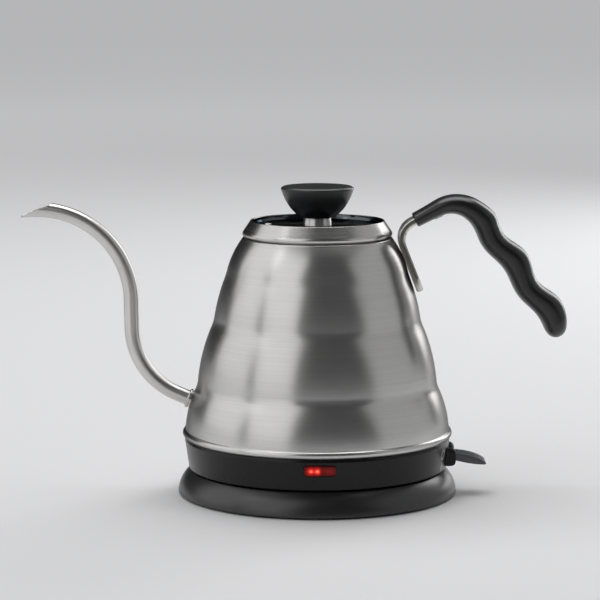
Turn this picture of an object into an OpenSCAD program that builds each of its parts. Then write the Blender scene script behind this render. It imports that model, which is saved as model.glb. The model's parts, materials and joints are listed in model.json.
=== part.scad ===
// Electric gooseneck pouring kettle on a round cordless power base.
// Origin: on the floor at the kettle's axis. +Z is up, the spout points to -X, the handle to +X.

/* [Power base] */
// Height of the non-slip foot ring below the base
foot_h = 1.0; // [0.6:0.1:1.6]
// Distance of the foot ring inside the base's edge
foot_inset = 8.5; // [7:0.5:12]
// Width of the foot ring
foot_w = 5; // [3:0.5:7]
// Radius of the base at its foot
base_r = 73.5; // [72:0.5:78]
// Inward lean of the base's side from foot to deck
base_lean = 6.7; // [5:0.1:8]
// Height of the base's top edge above the floor
base_top_z = 13.2; // [12.6:0.1:14]
// Outward bulge of the base's side
base_bulge = 1.35; // [0.6:0.05:1.8]
// Wall of the base shell
base_wall = 2.0; // [1.6:0.1:2.2]
// Width of the deck round the recess that takes the kettle's foot rib
deck_w = 6.5; // [4:0.1:8]
// Depth of that recess
recess_depth = 3.7; // [3:0.1:4]
// Thickness of the base plate
plate_t = 1.6; // [1.4:0.1:2]
// Distance of the base's screws inside the foot ring
base_screw_inset = 10; // [8:0.5:20]
// Length of a base screw below its head
base_screw_l = 6; // [5:0.5:6.5]
// Outer radius of the cord gland
gland_r = 4.2; // [3.9:0.1:4.3]
// Radius of the cord gland's bore
gland_bore_r = 3.1; // [2.6:0.1:3.2]

/* [Connector] */
// Radius of the base connector's boss
boss_r = 15; // [14.5:0.1:15.2]
// Inner radius of the inner contact slot
slot_a_r = 6.2; // [5.8:0.1:6.6]
// Inner radius of the outer contact slot
slot_b_r = 10.3; // [10:0.1:10.8]
// Width of a contact slot
slot_w = 1.7; // [1.5:0.1:2]
// Depth of the contact slots
slot_depth = 12; // [11:0.1:12.5]
// Radius of the centre contact hole
centre_hole_r = 2.9; // [2.7:0.1:3.2]
// Thickness of a contact ring
contact_t = 0.5; // [0.4:0.05:0.6]
// Reach of the kettle coupler's disc beyond the boss
coupler_lip = 2.4; // [2:0.1:3]
// Thickness of the kettle coupler's disc
coupler_t = 6.6; // [5:0.1:6.8]

/* [Kettle housing] */
// Overhang of the housing's lower edge beyond the base's deck
housing_over = 1; // [0.5:0.1:1.6]
// Outward flare of the housing towards its upper edge
housing_flare = 2.2; // [1:0.1:3]
// Gap between the base's deck and the housing
housing_gap = 0.7; // [0.5:0.1:1.2]
// Height of the housing
housing_h = 15.2; // [14.8:0.1:16]
// Wall of the housing at its lower edge
housing_wall = 2.6; // [2.2:0.1:3]
// Thickness of the bottom cover
bottom_t = 2; // [1.8:0.1:2.4]
// Width of the kettle's foot rib
rib_w = 3; // [2:0.5:4]
// Distance of the floor studs inside the housing's wall
stud_inset = 10.2; // [8:0.1:14]

/* [Lamp] */
// Sideways place of the lamp window
lamp_x = 1; // [-4:0.5:4]
// Height of the lamp window's centre above the housing's lower edge
lamp_up = 9.5; // [8.5:0.1:9.8]
// Length of the lamp window
lamp_l = 16.5; // [12:0.5:18]
// Height of the lamp window
lamp_h = 5.5; // [4.5:0.1:6]
// Radius of the glow lamp
bulb_r = 2.1; // [1.8:0.1:2.3]

/* [Switch lever] */
// Distance of the lever's pivot outside the housing's inner wall
lever_out = 4.6; // [4.4:0.1:4.9]
// Height of the lever's pivot above the housing's lower edge
lever_up = 5.5; // [5.3:0.1:6]
// Width of the lever
lever_w = 14; // [10:0.5:16]
// Reach of the lever beyond its pivot
lever_reach = 19.4; // [16:0.2:22]
// Drop of the lever's tip below its pivot
lever_drop = 3.4; // [2.8:0.1:3.8]
// Radius of the lever's pin
pin_r = 1.25; // [1:0.05:1.4]

/* [Vessel] */
// Height of the vessel's floor above the housing
floor_up = 5.9; // [5.6:0.1:7]
// Heights of the tiers of the wall, from the lowest up
tier_h = [22.5, 33.5, 25, 18.7]; // [14:0.1:40]
// Inward steps of the wall over the tiers, from the lowest up
tier_in = [6.4, 8.6, 6.6, 8.3]; // [4:0.1:10]
// Outward bulges of the tiers, from the lowest up
tier_bulge = [1.2, 1.6, 0.8, 1.1]; // [0:0.1:3]
// Thickness of the steel wall
wall = 0.8; // [0.6:0.05:1]
// Radius of the rolled bead's section
bead_r = 1.9; // [1.5:0.05:2]
// Distance of the wall's foot inside the housing's upper edge
wall_foot_in = 0.4; // [0:0.1:0.8]
// Distance of the bead's centre inside the wall
bead_inset = 0.4; // [0.2:0.05:0.8]
// Inward step from the wall to the mouth
mouth_step = 2.8; // [2.4:0.1:4]
// Rise of the mouth's edge above the wall
mouth_rise = 0.9; // [0.85:0.05:1.4]
// Height of the floor's welded rim
floor_rim = 4; // [3:0.5:6]
// Radius of the steam tube
steam_r = 2.8; // [2.4:0.1:3]
// Distance of the steam tube's middle inside the wall's upper crease
steam_inset = 4.5; // [4:0.1:5]
// Distance of the steam tube's open end below the mouth
steam_drop = 23.6; // [20:0.1:40]

/* [Heater] */
// Gap between the heat spreader and the steam tube
spreader_gap = 1.7; // [1:0.1:3]
// Thickness of the heat spreader
spreader_t = 2.5; // [2:0.1:3]
// Radius of the heating tube's section
element_r = 3.4; // [3:0.1:3.6]
// Distance of the heating tube's ring inside the spreader's edge
element_inset = 5; // [4:0.5:8]
// Thickness of the control unit's wall round the coupler
control_wall = 5.4; // [4.5:0.1:6.5]
// Radius of a snap disc's cup
disc_r = 7; // [6:0.5:9]
// Distance of each snap disc from the axis
disc_x = 13; // [10:0.5:15]
// Height of a snap disc's cup
disc_h = 1.5; // [1.2:0.1:2]

/* [Spout] */
// Outer radius of the spout tube
spout_r = 3.9; // [3.5:0.1:4.5]
// Wall of the spout tube
spout_wall = 0.7; // [0.5:0.05:1]
// Distance of the spout's root outside the lowest tier's chord
spout_proud = 1; // [0.5:0.1:1.5]
// Height of the spout's root above the vessel's floor
spout_up = 14.4; // [12:0.2:17]
// Upward slope of the spout at its root
spout_slope = 22.5; // [18:0.5:28]
// Straight length at the root
spout_root_l = 8; // [6:0.5:12]
// Radius of the lower bend
spout_low_bend = 38.5; // [34:0.5:44]
// Angle of the lower bend
spout_low_angle = 66.5; // [60:0.5:70]
// Straight length between the bends
spout_mid_l = 15; // [10:0.5:20]
// Radius of the upper bend
spout_top_bend = 48.5; // [42:0.5:52]
// Angle of the upper bend
spout_top_angle = 90; // [84:0.5:94]
// Straight length at the tip
spout_tip_l = 8.5; // [6:0.5:14]
// Slant of the tip's cut from the tube's axis
spout_cut = 22; // [20:1:60]
// Radius of the ferrule at the root
ferrule_r = 5.2; // [4.8:0.1:6.5]
// Thickness of the ferrule
ferrule_t = 1.8; // [1.2:0.1:2.5]

/* [Handle] */
// Distance of the bracket's lower end outside the chord of the tier behind it
bracket_out = 3.9; // [3.6:0.1:4.2]
// Height of the bracket's lower end above the vessel's floor
bracket_up = 71.8; // [70:0.2:73]
// Lean of the bracket from upright
bracket_lean = 21.5; // [20:0.5:23]
// Length of the bracket along the vessel
bracket_l = 26; // [25:0.5:27]
// Radius of the bracket's bend
bracket_bend = 10; // [9:0.5:12]
// Width of the bracket
bracket_w = 16; // [12:0.5:17]
// Depth of the bracket's channel section
bracket_d = 3.7; // [3.2:0.1:4]
// Sheet thickness of the bracket
bracket_t = 1.2; // [1:0.1:1.4]
// Straight length of the bracket between its bend and the grip
bracket_neck_l = 2; // [1:0.5:4]
// Length of the bracket's tang inside the grip
tang_l = 20; // [14:1:22]
// Upward slope of the grip where it leaves the bracket
grip_slope = 28; // [25:1:32]
// Straight length of the grip above the bracket
grip_neck_l = 14; // [12:0.5:18]
// Radius of the grip's shoulder
grip_bend = 17; // [15:0.5:20]
// Downward slope of the grip below its shoulder
grip_fall = 54; // [48:1:60]
// Length of the grip below its shoulder
grip_l = 76; // [68:1:84]
// Thickness of the grip at the bracket
grip_neck_t = 7.6; // [7.2:0.1:9]
// Thickness of the grip in the hand
grip_t = 14; // [12:0.2:16]
// Width of the grip
grip_w = 21; // [19:0.5:26]
// Spacing of the grip's finger swells
grip_pitch = 31; // [26:0.5:34]
// Sideways swing of the swells
grip_swing = 1.5; // [0.5:0.1:2.2]
// Thickening at the swells
grip_swell = 0.9; // [0:0.1:1.5]
// Length of the rounded end
grip_cap = 8; // [5:0.5:10]

/* [Lid] */
// Height of the lid above its lower edge
lid_h = 8.6; // [8:0.1:11]
// Reach of the lid's widest line beyond the mouth
lid_over = 2.5; // [2:0.1:3]
// Width of the bevel from the widest line to the top rim
lid_bevel = 5; // [4.5:0.1:6]
// Depth of the lid's dish below its rim
dish_depth = 2.6; // [1.5:0.1:3.2]
// Thickness of the lid's sheet
lid_t = 0.8; // [0.6:0.05:1]
// Depth of the lid's skirt below the mouth
skirt_drop = 8; // [5:0.5:10]
// Radius of a steam hole in the lid
steam_hole_r = 1.2; // [0.8:0.1:1.6]
// Distance of the steam holes inside the top rim
steam_hole_inset = 8; // [5:0.5:12]
// Radius of the collar under the knob
collar_r = 7.25; // [6.5:0.05:8]
// Height of the collar
collar_h = 4.2; // [3:0.1:6]
// Radius of the knob at its top
knob_r = 19.1; // [16:0.1:22]
// Reach of the knob's foot beyond the collar
knob_foot_lip = 0.85; // [0.5:0.05:1.5]
// Height of the knob
knob_h = 16.4; // [14:0.1:18]

/* [Screws] */
// Radius of a housing screw's shank
screw_r = 1.25; // [1:0.05:1.5]
// Radius of a housing screw's head
screw_head_r = 2.6; // [2.2:0.1:3]
// Radius of the knob screw's shank
knob_screw_r = 2; // [1.6:0.1:2.2]
// Depth of a screw head
head_h = 0.9; // [0.7:0.05:1.1]

/* [Fits] */
// Gap between pieces that move past each other
run_gap = 0.3; // [0.25:0.05:0.4]
// Gap round a fixed piece in its seat
seat_gap = 0.05; // [0.02:0.01:0.1]
// Radial gap of a pin in its bearing
pin_gap = 0.05; // [0.03:0.01:0.08]

/* [Hidden] */

STEEL = [0.72, 0.71, 0.69];
BLACK = [0.05, 0.05, 0.055];
NYLON = [0.85, 0.83, 0.78];
BRASS = [0.78, 0.62, 0.32];
RUBBER = [0.12, 0.12, 0.12];

base_top_r = base_r - base_lean;
recess_r = base_top_r - deck_w;
recess_z = base_top_z - recess_depth;
deck_under_z = recess_z - base_wall;
foot_r = base_r - foot_inset;
foot_seat = 0.4;
plate_top_z = foot_h + plate_t;
plate_r = base_r - 2 * base_wall;
base_screw_r = foot_r - foot_w - base_screw_inset;
base_turns = [30, 150, 270];
post_r = 3.5;
post_clear = 0.5;
gland_z = (plate_top_z + base_top_z - base_wall) / 2;
gland_in_y = recess_r + base_wall + 1;
gland_out_y = base_r - 0.3;

housing_z = base_top_z + housing_gap;
housing_top_z = housing_z + housing_h;
housing_low_r = base_top_r + housing_over;
housing_top_r = housing_low_r + housing_flare;
housing_in_r = housing_low_r - housing_wall;
edge_round = 0.7;
lip_step = 0.6;
lip_drop = 1.6;
lip_r = housing_top_r - lip_step;
flange_w = 3.2;
flange_t = 2.2;
flange_in_r = housing_in_r - flange_w;
flange_low_z = housing_top_z - flange_t;
bottom_z = housing_z + 0.2;
bottom_top_z = bottom_z + bottom_t;
rib_out_r = recess_r - 0.8;
stud_r = housing_in_r - stud_inset;
stud_turns = [60, 180, 300];
stud_body_r = 3.5;
screw_depth = 10;
screw_sink = 0.1;
pilot_gap = 0.05;

floor_z = housing_top_z + floor_up;
tier_z = [for (i = [0 : len(tier_h)]) floor_z + total(tier_h, i)];
tier_r = [for (i = [0 : len(tier_in)]) housing_top_r - wall_foot_in - total(tier_in, i)];
mouth_r = last(tier_r) - mouth_step;
mouth_z = last(tier_z) + mouth_rise;
mouth_flat = mouth_step - 0.4;
bead_ring_r = tier_r[0] - bead_inset;
bead_z = housing_top_z + seat_gap + bead_r;
gasket_t = 2.2;
gasket_inset = 1.5;
steam_wall = 0.5;
steam_x = tier_r[3] - steam_inset;
steam_top_z = mouth_z - steam_drop;

spreader_r = steam_x - steam_r - spreader_gap;
spreader_z = floor_z - spreader_t;
element_ring_r = spreader_r - element_inset;
element_z = spreader_z - element_r + 0.5;
element_gap_turn = 15;
cold_pin_r = 1.1;
cold_pin_l = 6;
control_top_z = spreader_z - disc_h;
control_roof = 1.7;
coupler_r = boss_r + coupler_lip;
control_r = coupler_r + control_wall;
coupler_top_z = control_top_z - control_roof - run_gap;
coupler_z = coupler_top_z - coupler_t;
boss_top_z = coupler_z - run_gap - 0.1;
boss_edge = 1;
slot_z = boss_top_z - slot_depth;
ring_low_z = slot_z + 3;
ring_sink = 4;
stub_z = slot_z - 6;
stub_r = 13;
boss_flange_w = 6;
boss_flange_t = 1.2;
base_contact_h = 6;
contact_gap = 0.35;
tab_w = 3;
tab_t = 0.8;
tab_tail = 1.2;
wire_r = 0.9;
wire_drop = 1.6;
socket_r = boss_r + 1.2;
socket_wall = 2;
retainer_t = 2.1;
retainer_z = coupler_z - run_gap - retainer_t;

lamp_z = housing_z + lamp_up;
lamp_corner = 1.2;
lens_proud = 0.15;
lens_flange = 1.3;
lens_flange_t = 1.6;
bulb_l = lamp_l - 5.5;
bulb_y = housing_in_r - 2.2 - bulb_r;
holder_w = 8;
holder_d = 5.5;

lever_x = housing_in_r + lever_out;
lever_z = housing_z + lever_up;
boss_out_x = lever_x + 3.2;
boss_draft = 1.5;
lever_root_x = boss_out_x + 0.5 - lever_x;
lever_root_h = 1.8;
lever_tip_h = 1;
lever_brow = 4.9;
lever_belly = 7.4;
cheek_w = 3;
cut_over = 5;
pin_fit = 0.02;
pin_sink = 0.4;
slot_half = lever_w / 2 + run_gap;
slot_down = 3.3;
slot_up = 4.4;
slot_rim = 0.9;
hub_r = 2.7;
rocker_t = 2.4;
rocker_h = 8;
switch_x_in = steam_x + steam_r + 4;
switch_x_out = housing_in_r - 2.4;
switch_w = 18;
switch_nose_r = 5;
switch_nose_t = 1.2;
rocker_x = switch_x_out + run_gap - lever_x;

lid_edge_z = mouth_z + run_gap;
lid_top_z = lid_edge_z + lid_h;
lid_r = mouth_r + lid_over;
lid_rim_r = lid_r - lid_bevel;
lid_hem = 3.6;
lid_crown = 0.9;
skirt_r = mouth_r - 0.4;
skirt_z = mouth_z - skirt_drop;
skirt_lap = 2;
dish_z = lid_top_z - dish_depth;
dish_r = lid_rim_r - 1.2;
dish_under_z = dish_z - lid_t;
steam_hole_turns = [168, 180, 192];
collar_lip = 0.3;
knob_foot_r = collar_r + knob_foot_lip;
knob_z = dish_z + collar_h;
knob_top_z = knob_z + knob_h;
knob_rim = 1.4;
insert_r = 3.4;
insert_z = knob_z + 1;
insert_h = knob_h - 7.4;
washer_t = 0.6;
washer_r = 4.6;
knob_head_r = 3.6;
knob_head_h = 2.2;

function last(list) = list[len(list) - 1];
function bend_l(r, angle) = r * abs(angle) * PI / 180;

// Sum of the first n values of a list
function total(list, n) = n == 0 ? 0 : list[n - 1] + total(list, n - 1);

// Radius at height z on the straight line between the creases of tier i
function chord_r(i, z) = tier_r[i] - (z - tier_z[i]) * (tier_r[i] - tier_r[i + 1]) / tier_h[i];

// Points on a round arc from a to b that bulges by s to the left of the way from a to b
function arc_points(a, b, s, n) = let(
        c = norm(b - a) / 2,
        r = (c * c + s * s) / (2 * s),
        d = (b - a) / (2 * c),
        left = [-d[1], d[0]],
        mid = (a + b) / 2 + left * (s - r),
        half = asin(c / r)
    ) [for (i = [0 : n]) let(t = -half + 2 * half * i / n) mid + left * r * cos(t) + d * r * sin(t)];

// Points on a quadratic curve from a to c that leaves and arrives towards b
function curve_points(a, b, c, n) =
    [for (i = [0 : n]) let(t = i / n) (1 - t) * (1 - t) * a + 2 * t * (1 - t) * b + t * t * c];

// Smooth step from 0 to 1
function ease(t) = let(u = min(1, max(0, t))) u * u * (3 - 2 * u);

// Place and heading after a run of length l that turns by angle turn, from a station [x, z, heading]
function advance(at, l, turn) = let(
        chord = abs(turn) < 0.01 ? l : l * sin(turn / 2) / (turn / 2 * PI / 180),
        h = at[2] + turn / 2
    ) [at[0] + chord * cos(h), at[1] + chord * sin(h), at[2] + turn];

// Stations along a run, the first one left out
function run_stations(at, l, turn, n) = [for (i = [1 : n]) advance(at, l * i / n, turn * i / n)];

// A point beside a station, off to its left
function beside(at, off) = [at[0] - off * sin(at[2]), at[1] + off * cos(at[2])];

// Closed sweep through rings of equal count
module sweep_rings(rings) {
    k = len(rings[0]);
    n = len(rings);
    sides = [for (i = [0 : n - 2]) for (j = [0 : k - 1])
        [i * k + j, i * k + (j + 1) % k, (i + 1) * k + (j + 1) % k, (i + 1) * k + j]];
    ends = [[for (j = [k - 1 : -1 : 0]) j], [for (j = [0 : k - 1]) (n - 1) * k + j]];
    polyhedron([for (ring = rings) for (p = ring) p], concat(sides, ends), convexity = 6);
}

module spin(points) {
    rotate_extrude($fn = 96) polygon(points);
}

module ring(r_in, r_out, z, h) {
    translate([0, 0, z]) difference() {
        cylinder(r = r_out, h = h, $fn = 96);
        translate([0, 0, -1]) cylinder(r = r_in, h = h + 2, $fn = 96);
    }
}

module post(x, y, z, r, h) {
    translate([x, y, z]) cylinder(r = r, h = h, $fn = 32);
}

module at_turns(turns, r) {
    for (a = turns) rotate(a) translate([r, 0, 0]) children();
}

// ---- power base ----

module base_foot_ring() {
    color(RUBBER) ring(foot_r - foot_w, foot_r, 0, foot_h + foot_seat);
}

module base_plate() {
    color(BLACK) difference() {
        ring(0, plate_r, foot_h, plate_t);
        ring(foot_r - foot_w - seat_gap, foot_r + seat_gap, foot_h - 1, 1 + foot_seat);
        at_turns(base_turns, base_screw_r) {
            post(0, 0, foot_h - 1, screw_head_r + pilot_gap, 1 + head_h);
            post(0, 0, 0, screw_r + pilot_gap, plate_top_z + 1);
        }
    }
}

module base_screws() {
    color(STEEL) at_turns(base_turns, base_screw_r) {
        post(0, 0, foot_h, screw_head_r, head_h);
        post(0, 0, foot_h + head_h, screw_r, base_screw_l);
    }
}

function base_side() = arc_points([base_r, foot_h], [base_top_r, base_top_z], -base_bulge, 10);
function base_side_in() = arc_points([base_r - base_wall, foot_h],
    [base_top_r - base_wall, base_top_z - base_wall], -base_bulge, 10);

module base_shell() {
    outer = concat(base_side(), [[recess_r, base_top_z], [recess_r, recess_z], [0, recess_z]]);
    inner = concat(base_side_in(), [[recess_r + base_wall, base_top_z - base_wall],
        [recess_r + base_wall, deck_under_z], [0, deck_under_z]]);
    color(BLACK) difference() {
        union() {
            difference() {
                spin(concat([[0, foot_h]], outer));
                spin(concat([[0, foot_h - 1], [base_r - base_wall, foot_h - 1]], inner));
            }
            at_turns(base_turns, base_screw_r)
                post(0, 0, plate_top_z, post_r, recess_z - post_clear - plate_top_z);
        }
        ring(0, boss_r + run_gap, deck_under_z - 1, base_wall + 2);
        at_turns(base_turns, base_screw_r) post(0, 0, 0, screw_r + pilot_gap, recess_z - 1);
        translate([0, gland_in_y - 2, gland_z]) rotate([-90, 0, 0])
            cylinder(r = gland_r + seat_gap, h = base_r, $fn = 48);
    }
}

module cord_gland() {
    color(RUBBER) translate([0, 0, gland_z]) rotate([-90, 0, 0]) difference() {
        translate([0, 0, gland_in_y]) cylinder(r = gland_r, h = gland_out_y - gland_in_y, $fn = 48);
        cylinder(r = gland_bore_r, h = base_r + 1, $fn = 48);
    }
}

module contact_tabs(grow) {
    for (p = [[0, 0], [slot_a_r + contact_t / 2, 0], [-slot_b_r - contact_t / 2, 0]])
        translate([p[0] - tab_t / 2 - grow, -tab_w / 2 - grow, stub_z - tab_tail])
            cube([tab_t + 2 * grow, tab_w + 2 * grow, slot_z - stub_z + tab_tail]);
}

module base_connector() {
    color(NYLON) difference() {
        union() {
            ring(0, boss_r + boss_flange_w, deck_under_z - boss_flange_t, boss_flange_t);
            ring(0, stub_r, stub_z, deck_under_z - stub_z);
            spin([[0, deck_under_z], [boss_r, deck_under_z], [boss_r, boss_top_z - boss_edge],
                [boss_r - boss_edge, boss_top_z], [0, boss_top_z]]);
        }
        post(0, 0, slot_z, centre_hole_r, boss_top_z);
        ring(slot_a_r, slot_a_r + slot_w, slot_z, boss_top_z);
        ring(slot_b_r, slot_b_r + slot_w, slot_z, boss_top_z);
        contact_tabs(seat_gap);
    }
}

module base_contacts() {
    color(BRASS) {
        ring(centre_hole_r - contact_t, centre_hole_r - seat_gap, slot_z, base_contact_h);
        ring(slot_a_r + seat_gap, slot_a_r + contact_t, slot_z, base_contact_h);
        ring(slot_b_r + seat_gap, slot_b_r + contact_t, slot_z, base_contact_h);
        contact_tabs(0);
    }
}

module base_wires() {
    color([0.5, 0.2, 0.15]) for (i = [-1 : 1])
        translate([i * 2 * wire_r, stub_r + run_gap, gland_z - wire_drop]) rotate([-90, 0, 0])
            cylinder(r = wire_r, h = gland_in_y - stub_r - run_gap, $fn = 16);
}

// ---- coupler that plugs into the base ----

module coupler_disc() {
    color(NYLON) difference() {
        ring(0, coupler_r, coupler_z, coupler_t);
        coupler_metal(seat_gap);
    }
}

module coupler_metal(grow) {
    pin_len = coupler_z + ring_sink - ring_low_z;
    ring_a = slot_a_r + contact_t + contact_gap;
    ring_b = slot_b_r + contact_t + contact_gap;
    post(0, 0, ring_low_z, centre_hole_r - contact_t - contact_gap + grow, pin_len + grow);
    ring(ring_a - grow, ring_a + contact_t + grow, ring_low_z, pin_len + grow);
    ring(ring_b - grow, ring_b + contact_t + grow, ring_low_z, pin_len + grow);
}

module coupler_contacts() {
    color(BRASS) coupler_metal(0);
}

module coupler_retainer() {
    color(NYLON) ring(socket_r, control_r, retainer_z, retainer_t);
}

// ---- heater and control ----

module control_unit() {
    pocket_z = retainer_z + retainer_t;
    color(NYLON) difference() {
        ring(0, control_r, pocket_z, control_top_z - pocket_z);
        ring(0, coupler_r + run_gap, pocket_z - 1, coupler_top_z + run_gap - pocket_z + 1);
    }
}

module snap_discs() {
    color(BRASS) for (s = [-1, 1]) post(s * disc_x, 0, control_top_z, disc_r, disc_h);
}

module heat_spreader() {
    color([0.8, 0.8, 0.8]) ring(0, spreader_r, spreader_z, spreader_t);
}

module heating_element() {
    color([0.5, 0.5, 0.5]) intersection() {
        rotate(element_gap_turn) rotate_extrude(angle = 360 - 2 * element_gap_turn, $fn = 96)
            translate([element_ring_r, element_z]) circle(r = element_r, $fn = 32);
        ring(0, spreader_r, spreader_z - 3 * element_r, 3 * element_r);
    }
}

module element_pins() {
    color(STEEL) for (s = [-1, 1]) rotate(s * element_gap_turn) translate([element_ring_r, 0, element_z])
        rotate([s * 90, 0, 0]) cylinder(r = cold_pin_r, h = cold_pin_l, $fn = 24);
}

// ---- vessel ----

function tier(i, inset) = arc_points([tier_r[i] - inset, tier_z[i]],
    [tier_r[i + 1] - inset, tier_z[i + 1]], -tier_bulge[i], 8);
function wall_line(inset) = concat(
    tier(0, inset),
    [for (i = [1 : len(tier_h) - 1]) let(t = tier(i, inset)) each [for (j = [1 : 8]) t[j]]]
);

// The vessel's outside as a solid, from the floor's crease to the mouth
module vessel_solid(inset) {
    spin(concat([[0, tier_z[0]]], wall_line(inset), [[0, last(tier_z)]]));
}

module root_frame() {
    translate([spout_start[0], 0, spout_start[1]]) rotate([0, -90 + spout_slope, 0]) children();
}

module body_shell() {
    outer = wall_line(0);
    inner = wall_line(wall);
    mouth = [[mouth_r + mouth_flat, mouth_z], [mouth_r, mouth_z], [mouth_r, mouth_z - wall],
        [mouth_r + mouth_flat - wall, mouth_z - wall]];
    back = [for (i = [len(inner) - 1 : -1 : 0]) inner[i]];
    color(STEEL) difference() {
        union() {
            spin(concat([[tier_r[0] - wall, bead_z], [tier_r[0], bead_z]], outer, mouth, back));
            rotate_extrude($fn = 96) translate([bead_ring_r, bead_z]) circle(r = bead_r, $fn = 32);
        }
        root_frame() translate([0, 0, -root_cut / 2])
            cylinder(r = spout_r + seat_gap, h = root_cut, $fn = 48);
    }
}

module vessel_floor() {
    r = tier_r[0] - wall - seat_gap;
    top_r = chord_r(0, floor_z + floor_rim) - wall - seat_gap;
    color(STEEL) difference() {
        spin([[0, floor_z], [r, floor_z], [top_r, floor_z + floor_rim], [top_r - wall, floor_z + floor_rim],
            [r - 1.5 * wall, floor_z + wall], [0, floor_z + wall]]);
        post(steam_x, 0, floor_z - 1, steam_r + seat_gap, wall + 2);
    }
}

module floor_studs() {
    color(STEEL) at_turns(stud_turns, stud_r) difference() {
        post(0, 0, bottom_top_z, stud_body_r, floor_z - bottom_top_z);
        post(0, 0, bottom_top_z - 1, screw_r + pilot_gap, screw_depth + 2);
    }
}

module steam_tube() {
    foot_z = spreader_z - 2;
    color(STEEL) translate([steam_x, 0, 0])
        ring(steam_r - steam_wall, steam_r, foot_z, steam_top_z - foot_z);
}

// ---- housing ----

module housing_bottom() {
    color(BLACK) difference() {
        union() {
            ring(0, housing_in_r - 0.2, bottom_z, bottom_t);
            ring(rib_out_r - rib_w, rib_out_r, recess_z + run_gap, bottom_z - recess_z - run_gap);
            ring(0, socket_r + socket_wall, bottom_z, retainer_z - bottom_z);
        }
        ring(0, socket_r, 0, retainer_z + 1);
        at_turns(stud_turns, stud_r) {
            post(0, 0, bottom_z - 1, screw_head_r + pilot_gap, 1 + screw_sink + head_h);
            post(0, 0, bottom_z - 1, screw_r + pilot_gap, bottom_t + 2);
        }
    }
}

module housing_screws() {
    color(STEEL) at_turns(stud_turns, stud_r) {
        post(0, 0, bottom_z + screw_sink, screw_head_r, head_h);
        post(0, 0, bottom_z + screw_sink + head_h, screw_r, screw_depth);
    }
}

module lamp_window(grow, y_in, y_out) {
    l = lamp_l / 2 + grow;
    h = lamp_h / 2 + grow;
    c = lamp_corner;
    translate([lamp_x, -y_in, lamp_z]) rotate([90, 0, 0]) linear_extrude(y_out - y_in) {
        square([2 * l, 2 * (h - c)], center = true);
        square([2 * (l - c), 2 * h], center = true);
        for (i = [-1, 1], j = [-1, 1]) translate([i * (l - c), j * (h - c)]) circle(r = c, $fn = 24);
    }
}

module housing_outline(grow) {
    spin([[0, housing_z], [housing_low_r - edge_round + grow, housing_z],
        [housing_low_r + grow, housing_z + edge_round], [housing_top_r + grow, housing_top_z - lip_drop],
        [lip_r + grow, housing_top_z], [0, housing_top_z]]);
}

module lever_boss() {
    half = slot_half + cheek_w;
    low = lever_z - slot_down - slot_rim;
    high = lever_z + slot_up + slot_rim;
    intersection() {
        translate([housing_in_r, -half, low]) cube([boss_out_x - housing_in_r, 2 * half, high - low]);
        spin([[0, 0], [boss_out_x + boss_draft, 0], [boss_out_x, housing_top_z], [0, housing_top_z]]);
    }
}

module housing_band() {
    color(BLACK) difference() {
        union() {
            housing_outline(0);
            lever_boss();
        }
        ring(0, housing_in_r, housing_z - 1, flange_low_z - housing_z + 1);
        ring(0, flange_in_r, housing_z - 1, housing_top_z);
        lamp_window(seat_gap, housing_in_r - cut_over, base_r);
        translate([housing_in_r - cut_over, -slot_half, lever_z - slot_down])
            cube([boss_out_x - housing_in_r + 2 * cut_over, 2 * slot_half, slot_down + slot_up]);
        translate([lever_x, -base_r, lever_z]) rotate([-90, 0, 0])
            cylinder(r = pin_r + pin_fit, h = 2 * base_r, $fn = 32);
    }
}

module body_gasket() {
    color(RUBBER) ring(flange_in_r + gasket_inset, bead_ring_r - bead_r - seat_gap, housing_top_z, gasket_t);
}

module lamp_lens() {
    color([0.7, 0.05, 0.03]) {
        intersection() {
            lamp_window(0, housing_in_r - 1, base_r);
            housing_outline(lens_proud);
        }
        intersection() {
            lamp_window(lens_flange, housing_in_r - 4, housing_in_r + 1);
            ring(housing_in_r - lens_flange_t, housing_in_r - seat_gap, housing_z,
                flange_low_z - seat_gap - housing_z);
        }
    }
}

module glow_lamp() {
    color([0.95, 0.5, 0.3]) translate([lamp_x - bulb_l / 2, -bulb_y, lamp_z]) rotate([0, 90, 0])
        cylinder(r = bulb_r, h = bulb_l, $fn = 32);
}

module lamp_holder() {
    color(NYLON) difference() {
        translate([lamp_x - holder_w / 2, -bulb_y - 2, bottom_top_z])
            cube([holder_w, holder_d, lamp_z - bottom_top_z]);
        translate([lamp_x - holder_w, -bulb_y, lamp_z]) rotate([0, 90, 0])
            cylinder(r = bulb_r + seat_gap, h = 2 * holder_w, $fn = 32);
    }
}

// ---- switch ----

module steam_switch() {
    h = flange_low_z - run_gap - bottom_top_z;
    color(NYLON) {
        translate([switch_x_in, -switch_w / 2, bottom_top_z]) cube([switch_x_out - switch_x_in, switch_w, h]);
        translate([switch_x_in, 0, bottom_top_z + h / 2]) rotate([0, -90, 0])
            cylinder(r = switch_nose_r, h = switch_nose_t, $fn = 48);
    }
}

module lever_pin() {
    half = slot_half + cheek_w - pin_sink;
    color(STEEL) translate([lever_x, -half, lever_z]) rotate([-90, 0, 0])
        cylinder(r = pin_r, h = 2 * half, $fn = 32);
}

function lever_outline() = concat(
    curve_points([lever_root_x, lever_root_h], [lever_reach - lever_brow, lever_root_h / 2],
        [lever_reach, lever_tip_h / 2 - lever_drop], 8),
    curve_points([lever_reach - lever_tip_h, -lever_tip_h / 2 - lever_drop],
        [lever_reach - lever_belly, -lever_tip_h / 2 - lever_drop], [lever_root_x, -lever_root_h], 6),
    [[-1, -lever_root_h], [-1, lever_root_h]]
);

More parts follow.
